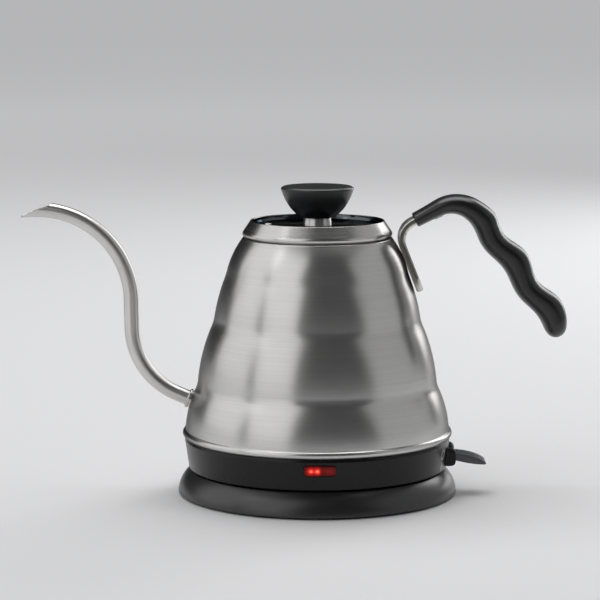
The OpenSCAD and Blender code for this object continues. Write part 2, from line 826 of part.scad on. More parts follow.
module switch_lever() {
    color([0.62, 0.62, 0.64]) translate([lever_x, 0, lever_z]) rotate([90, 0, 0]) difference() {
        union() {
            translate([0, 0, -lever_w / 2]) linear_extrude(lever_w) polygon(lever_outline());
            translate([0, 0, -lever_w / 2]) cylinder(r = hub_r, h = lever_w, $fn = 48);
            translate([rocker_x, -rocker_t / 2, -rocker_h / 2]) cube([-rocker_x, rocker_t, rocker_h]);
        }
        translate([0, 0, -lever_w]) cylinder(r = pin_r + pin_gap, h = 2 * lever_w, $fn = 32);
    }
}

// ---- spout ----

spout_z = floor_z + spout_up;
spout_start = [-chord_r(0, spout_z) - spout_proud, spout_z, 180 - spout_slope];
spout_a = run_stations(spout_start, spout_root_l, 0, 2);
spout_b = run_stations(last(spout_a), bend_l(spout_low_bend, spout_low_angle), -spout_low_angle, 10);
spout_c = run_stations(last(spout_b), spout_mid_l, 0, 2);
spout_d = run_stations(last(spout_c), bend_l(spout_top_bend, spout_top_angle), spout_top_angle, 14);
spout_tip = advance(last(spout_d), spout_tip_l, 0);
spout_root_in = 4;
root_cut = 24;

// Ring of points round a station, in the plane across the tube
function tube_ring(at, r, k) = [for (j = [0 : k - 1]) let(a = 360 * j / k, p = beside(at, r * cos(a)))
    [p[0], r * sin(a), p[1]]];

module spout_sweep(r, over) {
    path = concat([advance(spout_start, -spout_root_in - over, 0)], spout_a, spout_b, spout_c, spout_d,
        [advance(spout_tip, over + 0.1, 0)]);
    sweep_rings([for (s = path) tube_ring(s, r, 20)]);
}

// What the slanted cut takes off: all above a plane that rises from the tip's lower edge
module tip_waste() {
    translate([spout_tip[0], 0, spout_tip[1]]) rotate([0, -spout_tip[2], 0])
        translate([0, 0, spout_r]) rotate([0, -spout_cut, 0])
            translate([-8 * spout_r, -2 * spout_r, -8 * spout_r])
                cube([16 * spout_r, 4 * spout_r, 8 * spout_r]);
}

module spout_tube() {
    color(STEEL) difference() {
        spout_sweep(spout_r, 0);
        spout_sweep(spout_r - spout_wall, 1);
        tip_waste();
    }
}

module spout_ferrule() {
    color(STEEL) difference() {
        root_frame() translate([0, 0, -6]) cylinder(r = ferrule_r, h = 6 + ferrule_t + 1, $fn = 48);
        root_frame() translate([0, 0, -7]) cylinder(r = spout_r + seat_gap, h = 20, $fn = 48);
        vessel_solid(-seat_gap);
    }
}

// ---- handle ----

bracket_z = floor_z + bracket_up;
bracket_start = [chord_r(2, bracket_z) + bracket_out, bracket_z, 90 + bracket_lean];
bracket_turn = 90 + bracket_lean - grip_slope;
bracket_a = run_stations(bracket_start, bracket_l, 0, 1);
bracket_b = run_stations(last(bracket_a), bend_l(bracket_bend, bracket_turn), -bracket_turn, 8);
grip_start = advance(last(bracket_b), bracket_neck_l, 0);
tang_end = advance(grip_start, tang_l, 0);
bracket_path = concat([bracket_start], bracket_a, bracket_b, [tang_end]);

function strap(path, left, right) = concat(
    [for (s = path) beside(s, left)],
    [for (i = [len(path) - 1 : -1 : 0]) beside(path[i], right)]
);

module side_extrude(w) {
    translate([0, w / 2, 0]) rotate([90, 0, 0]) linear_extrude(w) children();
}

// Outline of the bracket seen square to its leg, with a round lower end, pushed through the whole bracket
module bracket_front(w, step) {
    reach = bracket_l + 4 * bracket_bend;
    translate([bracket_start[0], 0, bracket_start[1]]) rotate([0, -bracket_start[2], 0])
        translate([step + w / 2, 0, -reach]) linear_extrude(2 * reach) {
            circle(r = w / 2, $fn = 48);
            translate([0, -w / 2]) square([reach, w]);
        }
}

module handle_bracket() {
    half = bracket_d / 2;
    w_in = bracket_w - 2 * bracket_t;
    hollow = concat([advance(bracket_start, bracket_t, 0)], bracket_a, bracket_b, [advance(tang_end, 1, 0)]);
    color(STEEL) difference() {
        intersection() {
            side_extrude(bracket_w) polygon(strap(bracket_path, half, -half));
            bracket_front(bracket_w, 0);
        }
        intersection() {
            side_extrude(w_in) polygon(strap(hollow, half - bracket_t, -half - 1));
            bracket_front(w_in, bracket_t);
        }
        vessel_solid(-seat_gap);
        grip_screw_places() cylinder(r = screw_r + pilot_gap, h = 20, $fn = 24, center = true);
    }
}

grip_bend_turn = grip_slope + grip_fall;
grip_bend_l = bend_l(grip_bend, grip_bend_turn);
grip_arm_s = grip_neck_l + grip_bend_l;
grip_total = grip_arm_s + grip_l;
grip_first = grip_arm_s + 13.8;
tang_gap = 0.1;
grip_screw_l = 4;
grip_screw_seat = 3.05;
grip_screw_clear = 0.7;
grip_head_h = 1.5;

// Spine station at distance s along the grip
function grip_spine(s) = let(
        neck = advance(grip_start, min(s, grip_neck_l), 0),
        t = min(1, max(0, (s - grip_neck_l) / grip_bend_l)),
        bent = advance(neck, grip_bend_l * t, -grip_bend_turn * t)
    ) advance(bent, max(0, s - grip_arm_s), 0);

// How far the finger swells have set in at distance s, and their phase
function swell_on(s) = ease((s - grip_arm_s + 6) / 14);
function swell_wave(s) = -cos(360 * (s - grip_first) / grip_pitch) * swell_on(s);
function cap_scale(s) = let(u = max(0, (s - grip_total + grip_cap) / grip_cap)) sqrt(max(0, 1 - u * u));

// Section of the grip at distance s, a rounded oval
function grip_ring(s, k) = let(
        at = grip_spine(s),
        round = max(0.08, cap_scale(s)),
        plain_t = grip_neck_t + (grip_t - grip_neck_t) * ease(s / (grip_arm_s + 14)),
        t = (plain_t + grip_swell * swell_wave(s)) * round,
        w = (grip_w - 3 + 3 * ease(s / grip_arm_s)) * round,
        off = grip_swing * swell_wave(s)
    ) [for (j = [0 : k - 1]) let(
        a = 360 * j / k,
        c = cos(a),
        d = sin(a),
        p = beside(at, off + sign(c) * pow(abs(c), 0.8) * t / 2)
    ) [p[0], sign(d) * pow(abs(d), 0.8) * w / 2, p[1]]];

module grip_screw_places() {
    at = advance(grip_start, tang_l * 0.6, 0);
    translate([at[0], 0, at[1]]) rotate([0, -at[2], 0]) children();
}

module handle_grip() {
    n_arm = 26;
    cap = [for (u = [0.35, 0.6, 0.8, 0.93, 1]) grip_total - grip_cap + grip_cap * u];
    arm = [for (i = [1 : n_arm]) grip_arm_s + (grip_l - grip_cap) * i / n_arm];
    neck = [0, grip_neck_l / 2, grip_neck_l];
    bend = [for (i = [1 : 8]) grip_neck_l + grip_bend_l * i / 8];
    half = bracket_d / 2 + tang_gap;
    color(BLACK) difference() {
        sweep_rings([for (s = concat(neck, bend, arm, cap)) grip_ring(s, 24)]);
        side_extrude(bracket_w + 2 * tang_gap) polygon(strap(
            [advance(grip_start, -1, 0), advance(grip_start, tang_l + tang_gap, 0)], half, -half));
        grip_screw_places() cylinder(r = screw_r + pilot_gap, h = 2 * grip_screw_l, $fn = 24, center = true);
        grip_screw_places() translate([0, 0, -grip_w]) cylinder(r = screw_head_r + pilot_gap,
            h = grip_w - grip_screw_seat, $fn = 24);
    }
}

module grip_screws() {
    color(STEEL) grip_screw_places() {
        translate([0, 0, -grip_screw_seat - grip_head_h])
            cylinder(r = screw_head_r, h = grip_head_h, $fn = 24);
        translate([0, 0, -grip_screw_seat])
            cylinder(r = screw_r, h = grip_screw_seat + grip_screw_l - grip_screw_clear, $fn = 24);
    }
}

// ---- lid ----

module lid_cover() {
    side = concat([[lid_rim_r + 1.4, lid_top_z - 1]], curve_points([lid_r - lid_crown, lid_edge_z + lid_hem],
        [lid_r + lid_crown, lid_edge_z + 0.4 * lid_hem], [lid_r - 1, lid_edge_z], 7));
    inside = [for (p = side) p[1] == lid_edge_z ? p - [lid_t, 0] : p - [lid_t, 0.6 * lid_t]];
    color(STEEL) difference() {
        spin(concat(
            [[0, dish_under_z], [dish_r + 0.2, dish_under_z], [lid_rim_r + 0.1, lid_top_z - lid_t]],
            inside,
            [for (i = [len(side) - 1 : -1 : 0]) side[i]],
            [[lid_rim_r + 0.6, lid_top_z], [lid_rim_r, lid_top_z], [dish_r, dish_z], [0, dish_z]]
        ));
        post(0, 0, dish_under_z - 1, knob_screw_r + pilot_gap, lid_t + 2);
        at_turns(steam_hole_turns, lid_rim_r - steam_hole_inset)
            post(0, 0, dish_under_z - 1, steam_hole_r, lid_t + 2);
    }
}

module lid_skirt() {
    top_r = dish_r - 0.8;
    color(STEEL) spin([[skirt_r - wall, skirt_z], [skirt_r, skirt_z], [skirt_r, lid_edge_z + skirt_lap],
        [top_r, dish_under_z], [top_r - skirt_lap, dish_under_z], [top_r - skirt_lap, dish_under_z - wall],
        [skirt_r - wall, lid_edge_z + skirt_lap - wall / 2]]);
}

module lid_collar() {
    color(STEEL) difference() {
        spin([[0, dish_z], [collar_r + collar_lip, dish_z],
            [collar_r + collar_lip, dish_z + 0.6 * collar_lip], [collar_r, dish_z + collar_lip],
            [collar_r, knob_z], [0, knob_z]]);
        post(0, 0, dish_z - 1, knob_screw_r + pilot_gap, collar_h + 2);
    }
}

module lid_knob() {
    rim_z = knob_top_z - knob_rim;
    flare = curve_points([knob_foot_r, knob_z], [knob_r - 3.9, knob_z + knob_h / 2.6], [knob_r, rim_z], 8);
    color(BLACK) difference() {
        spin(concat([[0, knob_z]], flare, [[knob_r, rim_z + 0.5], [knob_r - knob_rim / 2, rim_z + 1]],
            curve_points([knob_r - 2, rim_z + 1.1], [knob_r / 2, knob_top_z], [0, knob_top_z], 4)));
        post(0, 0, insert_z, insert_r + seat_gap, insert_h + seat_gap);
        post(0, 0, knob_z - 1, knob_screw_r + pilot_gap, 4);
    }
}

module knob_insert() {
    color(BRASS) ring(knob_screw_r + pilot_gap, insert_r, insert_z, insert_h);
}

module knob_screw() {
    color(STEEL) {
        post(0, 0, dish_under_z - washer_t - knob_head_h, knob_head_r, knob_head_h);
        post(0, 0, dish_under_z - washer_t, knob_screw_r, insert_z + insert_h - 1 - dish_under_z + washer_t);
    }
}

module knob_washer() {
    color(STEEL) ring(knob_screw_r + pilot_gap, washer_r, dish_under_z - washer_t, washer_t);
}

base_foot_ring();
base_plate();
base_screws();
base_shell();
base_connector();
base_contacts();
base_wires();
cord_gland();
coupler_disc();
coupler_contacts();
coupler_retainer();
control_unit();
snap_discs();
heat_spreader();
heating_element();
element_pins();
vessel_floor();
floor_studs();
housing_bottom();
housing_screws();
housing_band();
body_gasket();
lamp_lens();
glow_lamp();
lamp_holder();
steam_switch();
lever_pin();
body_shell();
steam_tube();
spout_tube();
spout_ferrule();
handle_bracket();
handle_grip();
grip_screws();
switch_lever();
lid_cover();
lid_skirt();
lid_collar();
lid_knob();
knob_insert();
knob_screw();
knob_washer();
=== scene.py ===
"""A gooseneck kettle on its power base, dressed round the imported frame."""
import json
import math

import bmesh
import bpy
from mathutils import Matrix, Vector, kdtree

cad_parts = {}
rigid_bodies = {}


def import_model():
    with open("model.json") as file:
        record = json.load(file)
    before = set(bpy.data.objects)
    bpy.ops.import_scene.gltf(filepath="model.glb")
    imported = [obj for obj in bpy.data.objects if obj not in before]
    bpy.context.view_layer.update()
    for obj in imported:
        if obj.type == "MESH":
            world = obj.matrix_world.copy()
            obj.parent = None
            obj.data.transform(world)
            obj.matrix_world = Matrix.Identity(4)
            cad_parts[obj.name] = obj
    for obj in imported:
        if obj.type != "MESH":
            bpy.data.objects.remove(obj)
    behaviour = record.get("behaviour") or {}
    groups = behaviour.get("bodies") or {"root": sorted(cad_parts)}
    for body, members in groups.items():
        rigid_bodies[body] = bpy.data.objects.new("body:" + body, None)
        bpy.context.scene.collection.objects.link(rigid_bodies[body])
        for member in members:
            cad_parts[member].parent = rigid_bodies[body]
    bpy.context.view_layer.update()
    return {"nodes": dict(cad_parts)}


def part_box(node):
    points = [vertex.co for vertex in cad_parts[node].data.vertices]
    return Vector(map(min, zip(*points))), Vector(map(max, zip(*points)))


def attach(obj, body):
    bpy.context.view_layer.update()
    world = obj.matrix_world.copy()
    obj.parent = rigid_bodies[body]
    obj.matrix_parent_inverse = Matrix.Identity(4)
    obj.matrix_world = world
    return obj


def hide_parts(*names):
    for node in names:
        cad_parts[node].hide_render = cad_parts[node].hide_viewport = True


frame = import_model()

MM = 0.001
X, Y, Z = 0, 1, 2
SMOOTH_BELOW = math.radians(38)
CORNER_SHARE = 0.45      # a rounding takes at most this share of each side beside it
CORNER_HOLD = 1.12       # its two holding points stand this far out, where the rounding's ends are 1
MERGE_REACH = 1e-6       # in m, as the meshes are


def low(node, axis):
    """Lowest coordinate of a CAD node along an axis, in mm."""
    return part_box(node)[0][axis] / MM


def high(node, axis):
    """Highest coordinate of a CAD node along an axis, in mm."""
    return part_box(node)[1][axis] / MM


# ---------------------------------------------------------------- sizes, in mm

# Power base: a bulging side, a rounded brow, a flat deck and the kettle's recess
BASE_R = high("base_shell", X)
DECK_Z = high("base_shell", Z)
DECK_R = BASE_R - 6.7
BASE_BULGE = 1.35
BASE_WALL = 2.0
BROW_W = 0.7
BROW_H = 0.45
FOOT_H = low("base_shell", Z)
RECESS_R = DECK_R - 6.5
RECESS_Z = DECK_Z - 3.7

# Connector boss: two ring slots, each with its inner radius, round a centre hole
BOSS_R = 15.0
BOSS_GAP = 0.3
BOSS_FOOT_R = 13
BOSS_FOOT_Z = 4.2
BOSS_FLANGE_R = 21
BOSS_FLANGE_T = 1.2
BOSS_TOP_Z = high("base_connector", Z)
RING_A_R = 6.2
RING_B_R = 10.3
RING_W = 1.7
RING_DEPTH = 12.0
CENTRE_HOLE_R = 2.9

# Gland in the base's back
GLAND_R = high("cord_gland", X)
GLAND_BORE_R = 3.1
GLAND_Z = (low("cord_gland", Z) + high("cord_gland", Z)) / 2
GLAND_OUT_Y = high("cord_gland", Y)
GLAND_IN_Y = low("cord_gland", Y)

# Kettle housing; the seam with the vessel stands SEAM_UP above the CAD's
HOUSING_Z = low("housing_band", Z)
SEAM_UP = 1.3
HOUSING_TOP_Z = high("housing_band", Z) + SEAM_UP
HOUSING_TOP_R = -low("housing_band", X)
HOUSING_LOW_R = HOUSING_TOP_R - 2.2
HOUSING_IN_R = HOUSING_LOW_R - 2.6
SHOULDER_H = 1.6
SHOULDER_IN = 0.6
TOP_RIM_W = 1.6
FLANGE_IN_R = HOUSING_IN_R - 3.2
FLANGE_TOP_Z = HOUSING_TOP_Z - SEAM_UP
FLANGE_LOW_Z = FLANGE_TOP_Z - 2.2

# Lamp window; its lens stands proud with a soft edge
LAMP_X = (low("lamp_lens", X) + high("lamp_lens", X)) / 2
LAMP_Z = HOUSING_Z + 10.4
LAMP_L = 16.5
LAMP_H = 5.5
LAMP_CORNER = 1.2
LENS_DEPTH = 2.4
LENS_PROUD = 0.15
LENS_SOFT = 1.1
LENS_STEPS = (14 / 19, 9 / 19, 4 / 19)                              # rings towards its middle
SPOTS = ((-4.6, 1.7, 0.95), (-1.3, 1.3, 1.1), (4.4, 3.2, 0.16))     # place, half width and power
SPOT_HALF_H = 1.55
SPOT_FALL = 0.42

# Switch lever, measured from its pin, with the slot and ears round it and the two marks beside it
LEVER_X = HOUSING_IN_R + 4.6
LEVER_Z = HOUSING_Z + 5.5
LEVER_W = high("switch_lever", Y) - low("switch_lever", Y)
LEVER_REACH = high("switch_lever", X) - LEVER_X
LEVER_DROP = 3.4
LEVER_TIP_H = 1.0
LEVER_ROOT_H = 1.8
LEVER_ROOT = 3.7
LEVER_HUB_R = 2.7
LEVER_BORE_R = 1.3
EAR_OUT_X = high("housing_band", X)
SLOT_HALF = LEVER_W / 2 + 0.3
EAR_HALF = SLOT_HALF + 3
SLOT_LOW_Z = LEVER_Z - 3.3
SLOT_HIGH_Z = LEVER_Z + 4.4
EAR_MARGIN = 0.9
EAR_CORNER = 2.9
MARK_TURN = -19
MARK_W = 0.42
MARK_SUNK = 0.3
OFF_MARK_R = 2.3
OFF_MARK_Z = LEVER_Z + 4.4
ON_MARK_LOW_Z = LEVER_Z - 3.9
ON_MARK_HIGH_Z = LEVER_Z + 0.3

# Screws under the base and the kettle
SCREW_COUNT = 3
SCREW_HEAD_R = 2.6
SCREW_HEAD_H = 0.9
SCREW_R = 1.25
CROSS_REACH = 1.45
CROSS_HALF = 0.28
CROSS_DEPTH = 0.65
BASE_SCREW_R = 50
COVER_SCREW_R = HOUSING_IN_R - 10.2

# Vessel; each tier has its height, its step inwards and its bulge
FLOOR_Z = low("vessel_floor", Z)
TIER_H = (22.5, 33.5, 25, 18.7)
TIER_IN = (6.4, 8.6, 6.6, 8.3)
TIER_BULGE = (1.2, 1.6, 0.8, 1.1)
WALL_FOOT_R = HOUSING_TOP_R - 0.4
WALL = 0.8
BEAD_R = 1.9
BEAD_RING_R = high("body_shell", X) - BEAD_R
BEAD_Z = low("body_shell", Z) + BEAD_R + SEAM_UP
BEAD_FROM, BEAD_TO = -6, 24          # its ends, in degrees from where the wall's foot meets it
MOUTH_Z = high("body_shell", Z)
MOUTH_R = WALL_FOOT_R - sum(TIER_IN) - 2.8
WALL_BELOW = (0.6, 0.3)              # the wall's line starts with these points below the floor
CREASE_REACH = 2.6

# Spout; each run is (length, 0) or (radius, angle)
SPOUT_R = high("spout_tube", Y)
SPOUT_WALL = 0.7
SPOUT_ROOT = (-66.5, FLOOR_Z + 14.4)
SPOUT_SLOPE = 22.5
SPOUT_RUNS = ((8, 0), (38.5, -66.5), (15, 0), (48.5, 90), (8.5, 0))
SPOUT_CUT = 22
SPOUT_INSIDE = 4
SPOUT_SPARE = 1.0
SPOUT_SIDES = 64
SPOUT_PITCH = 1.2
LIP_R = 0.36
FERRULE_R = 5.2
FERRULE_IN = 5.2
FERRULE_OUT = 2.6

# Handle bracket: up from its foot, round a bend, then a neck and a tang inside the grip
BRACKET_FOOT = (54.33, FLOOR_Z + 71.8)
BRACKET_LEAN = 21.5
BRACKET_L = 26
BRACKET_BEND = 10
BRACKET_NECK_L = 2
BRACKET_W = high("handle_bracket", Y) - low("handle_bracket", Y)
BRACKET_D = 3.7
BRACKET_T = 1.2
TANG_L = 20
GRIP_SLOPE = 28
BRACKET_TURN = 90 + BRACKET_LEAN - GRIP_SLOPE

# Grip: a neck, a bend down and a wavy length with a rounded cap
GRIP_NECK_L = 14
GRIP_BEND = 17
GRIP_FALL = 54
GRIP_L = 76
GRIP_TURN = GRIP_SLOPE + GRIP_FALL
GRIP_BEND_L = GRIP_BEND * math.radians(GRIP_TURN)
GRIP_ARM = GRIP_NECK_L + GRIP_BEND_L
GRIP_TOTAL = GRIP_ARM + GRIP_L
GRIP_EASE = 14                       # its thickness and its waves come in over this length
GRIP_NECK_T = 7.6
GRIP_T = 13.9
GRIP_W = 21
GRIP_NECK_W = 18
GRIP_PITCH = 31
GRIP_FIRST_DIP = 13.8                # from the end of the bend to the first dip
GRIP_WAVE_LEAD = 6                   # the waves come in this far before the end of the bend
GRIP_SWING = 1.5
GRIP_SWELL = 0.9
GRIP_CAP = 8
GRIP_EDGE = 0.8                      # length of the eased edge at the bracket
GRIP_EDGE_IN = 0.10                  # its step inwards, as a share of the section
GRIP_SQUARE = 0.8                    # below 1 it squares the oval section
GRIP_SCREW_AT = 0.6 * TANG_L
GRIP_SCREW_R = 2.65
GRIP_SCREW_UNDER = 3.05

# Lid and knob
LID_EDGE_Z = low("lid_cover", Z)
LID_TOP_Z = high("lid_cover", Z)
LID_R = MOUTH_R + 2.5
LID_RIM_R = LID_R - 5
LID_BROW_R = LID_RIM_R + 1.4
LID_BROW_Z = LID_TOP_Z - 1
DISH_Z = low("lid_collar", Z)
DISH_R = LID_RIM_R - 1.2
LID_T = 0.8
STEAM_HOLE_R = 1.2
STEAM_RING_R = LID_RIM_R - 8
STEAM_START = 168
STEAM_STEP = 12
STEAM_HOLES = 3
COLLAR_LIP = 0.3
COLLAR_R = high("lid_collar", X) - COLLAR_LIP
KNOB_Z = low("lid_knob", Z)
KNOB_TOP_Z = high("lid_knob", Z)
KNOB_R = high("lid_knob", X)
KNOB_FOOT_R = COLLAR_R + 2.3
KNOB_EDGE_Z = KNOB_TOP_Z - 1.6
KNOB_CROWN = (KNOB_R - 1.7, KNOB_TOP_Z - 0.13)


# ---------------------------------------------------------------- outlines

def arc(a, b, bulge, steps):
    """Points from a to b on an arc that stands bulge out to the right of the way from a to b."""
    a, b = Vector(a), Vector(b)
    half = (b - a).length / 2
    radius = (half * half + bulge * bulge) / (2 * bulge)
    along = (b - a).normalized()
    out = Vector((along.y, -along.x))
    centre = (a + b) / 2 + out * (bulge - radius)
    reach = math.asin(half / radius)
    turns = [reach * (2 * i / steps - 1) for i in range(steps + 1)]
    return [centre + out * radius * math.cos(t) + along * radius * math.sin(t) for t in turns]


def circle_arc(centre, radius, start, end, steps):
    """Points on a circle between two angles in degrees."""
    turns = [math.radians(start + (end - start) * i / steps) for i in range(steps + 1)]
    return [Vector((centre[0] + radius * math.cos(t), centre[1] + radius * math.sin(t))) for t in turns]


def swoop(a, b, c, steps):
    """Points on a quadratic curve from a to c, drawn towards b."""
    a, b, c = Vector(a), Vector(b), Vector(c)
    shares = [i / steps for i in range(steps + 1)]
    return [(1 - t) ** 2 * a + 2 * t * (1 - t) * b + t * t * c for t in shares]


def rounded(corners, steps=5):
    """A closed outline from corners (x, y, radius), each one rounded off by its radius.

    A point just outside each rounding keeps the flat beside it flat when shaded smooth.
    """
    outline = []
    for i, (x, y, radius) in enumerate(corners):
        corner = Vector((x, y))
        before = Vector(corners[i - 1][:2]) - corner
        after = Vector(corners[(i + 1) % len(corners)][:2]) - corner
        if radius <= 0:
            outline.append(corner)
            continue
        cut = radius / math.tan(before.angle(after) / 2)
        cut = min(cut, CORNER_SHARE * before.length, CORNER_SHARE * after.length)
        u, v = before.normalized() * cut, after.normalized() * cut
        bend = swoop(corner + u, corner, corner + v, steps)
        outline += [corner + CORNER_HOLD * u] + bend + [corner + CORNER_HOLD * v]
    return outline


def softened(line, reach):
    """Each point becomes the mean of the line within reach of it; the two ends stay."""
    out = [line[0]]
    for i in range(1, len(line) - 1):
        span = min(reach, (line[i] - line[0]).length, (line[i] - line[-1]).length)
        near = [p for p in line if (p - line[i]).length <= span + 1e-6]
        out.append(sum(near, Vector((0, 0))) / len(near))
    return out + [line[-1]]


def evenly(line, pitch):
    """The line with points added between its own, about pitch apart."""
    out = [line[0]]
    for a, b in zip(line, line[1:]):
        steps = max(1, round((b - a).length / pitch))
        out += [a.lerp(b, i / steps) for i in range(1, steps + 1)]
    return out


def ease(t):
    """Smooth step from 0 to 1."""
    t = min(1, max(0, t))
    return t * t * (3 - 2 * t)


# ---------------------------------------------------------------- runs along a bent path

def advance(at, length, turn=0.0):
    """The station (x, z, heading) after a run that turns by turn degrees on the way."""
    half = math.radians(turn / 2)
    chord = length if abs(turn) < 0.01 else length * math.sin(half) / half
    heading = math.radians(at[2]) + half
    return (at[0] + chord * math.cos(heading), at[1] + chord * math.sin(heading), at[2] + turn)


def beside(at, off, across=0.0):
    """The point off to the left of a station and across along Y."""
    heading = math.radians(at[2])
    return (at[0] - off * math.sin(heading), across, at[1] + off * math.cos(heading))


def stations(at, runs, pitch):
    """Stations along runs (length, 0) and (radius, angle), about pitch apart."""
    out = [at]
    for size, angle in runs:
        length = size * math.radians(abs(angle)) if angle else size
        steps = max(2, round(length / pitch))
        out += [advance(at, length * i / steps, angle * i / steps) for i in range(1, steps + 1)]
        at = out[-1]
    return out


# ---------------------------------------------------------------- nodes

class Nodes:
    """Adds nodes to self.tree."""

    def node(self, kind, links=None, **values):
        """The outputs of a new node, whose inputs take numbers or other nodes' outputs."""
        made = self.tree.nodes.new(kind)
        for key, value in values.items():
            setattr(made, key, value)
        for key, source in (links or {}).items():
            if isinstance(source, (int, float, tuple)):
                made.inputs[key].default_value = source
            else:
                self.tree.links.new(source, made.inputs[key])
        return made.outputs

    def math(self, operation, a, b=0.0):
        """The output of one sum."""
        return self.node("ShaderNodeMath", {0: a, 1: b}, operation=operation)[0]


# ---------------------------------------------------------------- geometry nodes

class Tree(Nodes):
    """Builds one geometry node tree with named inputs."""

    def __init__(self, name, **inputs):
        self.tree = bpy.data.node_groups.new(name, "GeometryNodeTree")
        face = self.tree.interface
        face.new_socket("Shape", in_out="INPUT", socket_type="NodeSocketGeometry")
        self.ids = {}
        for key, kind in inputs.items():
            made = face.new_socket(key, in_out="INPUT", socket_type="NodeSocket" + kind)
            self.ids[key] = made.identifier
        self.ids["Material"] = face.new_socket(
            "Material", in_out="INPUT", socket_type="NodeSocketMaterial").identifier
        face.new_socket("Shape", in_out="OUTPUT", socket_type="NodeSocketGeometry")
        self.given = self.tree.nodes.new("NodeGroupInput").outputs

    def finish(self, geometry):
        """Ends the tree in Realize Instances and Set Material."""
        real = self.node("GeometryNodeRealizeInstances", {0: geometry})[0]
        clad = self.node("GeometryNodeSetMaterial", {
            "Geometry": real, "Material": self.given["Material"]})[0]
        end = self.tree.nodes.new("NodeGroupOutput")
        self.tree.links.new(clad, end.inputs["Shape"])
        return self

    def made_from(self, obj, material, **values):
        """Runs the tree on an object and leaves its result there as a plain mesh."""
        modifier = obj.modifiers.new("tree", "NODES")
        modifier.node_group = self.tree
        modifier[self.ids["Material"]] = material
        for key, value in values.items():
            modifier[self.ids[key]] = value
        plain_mesh(obj)
        return obj


def turning_tree():
    """A profile in the XZ plane, turned about Z into a closed skin."""
    tree = Tree("turned_profile", Steps="Int")
    given = tree.given
    size = tree.node("GeometryNodeAttributeDomainSize", {"Geometry": given["Shape"]}, component="MESH")
    rows = tree.math("ADD", given["Steps"], 1)
    grid = tree.node("GeometryNodeMeshGrid", {"Vertices X": size["Point Count"], "Vertices Y": rows})
    index = tree.node("GeometryNodeInputIndex")[0]
    along = tree.math("FLOOR", tree.math("DIVIDE", tree.math("ADD", index, 0.5), rows))
    around = tree.math("FLOORED_MODULO", index, rows)
    angle = tree.math("MULTIPLY", tree.math("DIVIDE", around, given["Steps"]), math.tau)
    place = tree.node("GeometryNodeSampleIndex", {
        "Geometry": given["Shape"], "Value": tree.node("GeometryNodeInputPosition")[0], "Index": along,
    }, data_type="FLOAT_VECTOR")["Value"]
    turned = tree.node("ShaderNodeVectorRotate", {
        "Vector": place, "Angle": angle}, rotation_type="Z_AXIS")[0]
    skin = tree.node("GeometryNodeSetPosition", {"Geometry": grid["Mesh"], "Position": turned})[0]
    return tree.finish(tree.node("GeometryNodeMergeByDistance", {
        "Geometry": skin, "Distance": MERGE_REACH})[0])


def gooseneck_tree():
    """A thin tube along a path, with a slanted cut at its far end."""
    tree = Tree("gooseneck_tube", Radius="Float", Wall="Float", Over="Float", Sides="Int",
                Tip="Vector", Turn="Rotation")
    given = tree.given
    path = tree.node("GeometryNodeMeshToCurve", {"Mesh": given["Shape"]})[0]
    length = tree.node("GeometryNodeCurveLength", {"Curve": path})[0]
    trimmed = tree.node("GeometryNodeTrimCurve", {
        "Curve": path, 4: given["Over"], 5: tree.math("SUBTRACT", length, given["Over"])}, mode="LENGTH")[0]

    def tube(curve, radius):
        """A closed round rod along the curve."""
        ring = tree.node("GeometryNodeCurvePrimitiveCircle", {
            "Resolution": given["Sides"], "Radius": radius})[0]
        return tree.node("GeometryNodeCurveToMesh", {
            "Curve": curve, "Profile Curve": ring, "Fill Caps": True})[0]

    def radii(count):
        """So many times the tube's radius."""
        return tree.math("MULTIPLY", given["Radius"], count)

    block_size = tree.node("ShaderNodeCombineXYZ", {"X": radii(16.0), "Y": radii(4.0), "Z": radii(8.0)})[0]
    block = tree.node("GeometryNodeMeshCube", {"Size": block_size})["Mesh"]
    lift = tree.node("ShaderNodeCombineXYZ", {"Z": radii(-4.0)})[0]
    block = tree.node("GeometryNodeTransform", {"Geometry": block, "Translation": lift})[0]
    block = tree.node("GeometryNodeTransform", {
        "Geometry": block, "Translation": given["Tip"], "Rotation": given["Turn"]})[0]
    cut = tube(trimmed, given["Radius"])
    for waste in (tube(path, tree.math("SUBTRACT", given["Radius"], given["Wall"])), block):
        cut = tree.node("GeometryNodeMeshBoolean", {"Mesh 1": cut, "Mesh 2": waste},
                        operation="DIFFERENCE", solver="EXACT")["Mesh"]
    return tree.finish(tree.node("GeometryNodeMergeByDistance", {
        "Geometry": cut, "Distance": 2 * MERGE_REACH})[0])


def ring_tree():
    """Copies of a shape on a circle about Z, each turned to face outwards."""
    tree = Tree("ring_of_copies", Count="Int", Radius="Float", Start="Float", Step="Float")
    given = tree.given
    index = tree.node("GeometryNodeInputIndex")[0]
    angle = tree.math("ADD", given["Start"], tree.math("MULTIPLY", index, given["Step"]))
    spoke = tree.node("ShaderNodeCombineXYZ", {"X": given["Radius"]})[0]
    place = tree.node("ShaderNodeVectorRotate", {
        "Vector": spoke, "Angle": angle}, rotation_type="Z_AXIS")[0]
    points = tree.node("GeometryNodePoints", {"Count": given["Count"], "Position": place})[0]
    turn = tree.node("ShaderNodeCombineXYZ", {"Z": angle})[0]
    rotation = tree.node("FunctionNodeEulerToRotation", {0: turn})[0]
    copies = tree.node("GeometryNodeInstanceOnPoints", {
        "Points": points, "Instance": given["Shape"], "Rotation": rotation})[0]
    return tree.finish(copies)


# ---------------------------------------------------------------- meshes

def added(name, data):
    """A new object in the scene."""
    obj = bpy.data.objects.new(name, data)
    bpy.context.scene.collection.objects.link(obj)
    return obj


def scratch(name, verts, faces, edges=()):
    """A mesh object from points in mm, with its faces turned outwards."""
    mesh = bpy.data.meshes.new(name)
    mesh.from_pydata([tuple(c * MM for c in v) for v in verts], list(edges), faces)
    obj = added(name, mesh)
    face_outwards(obj)
    return obj


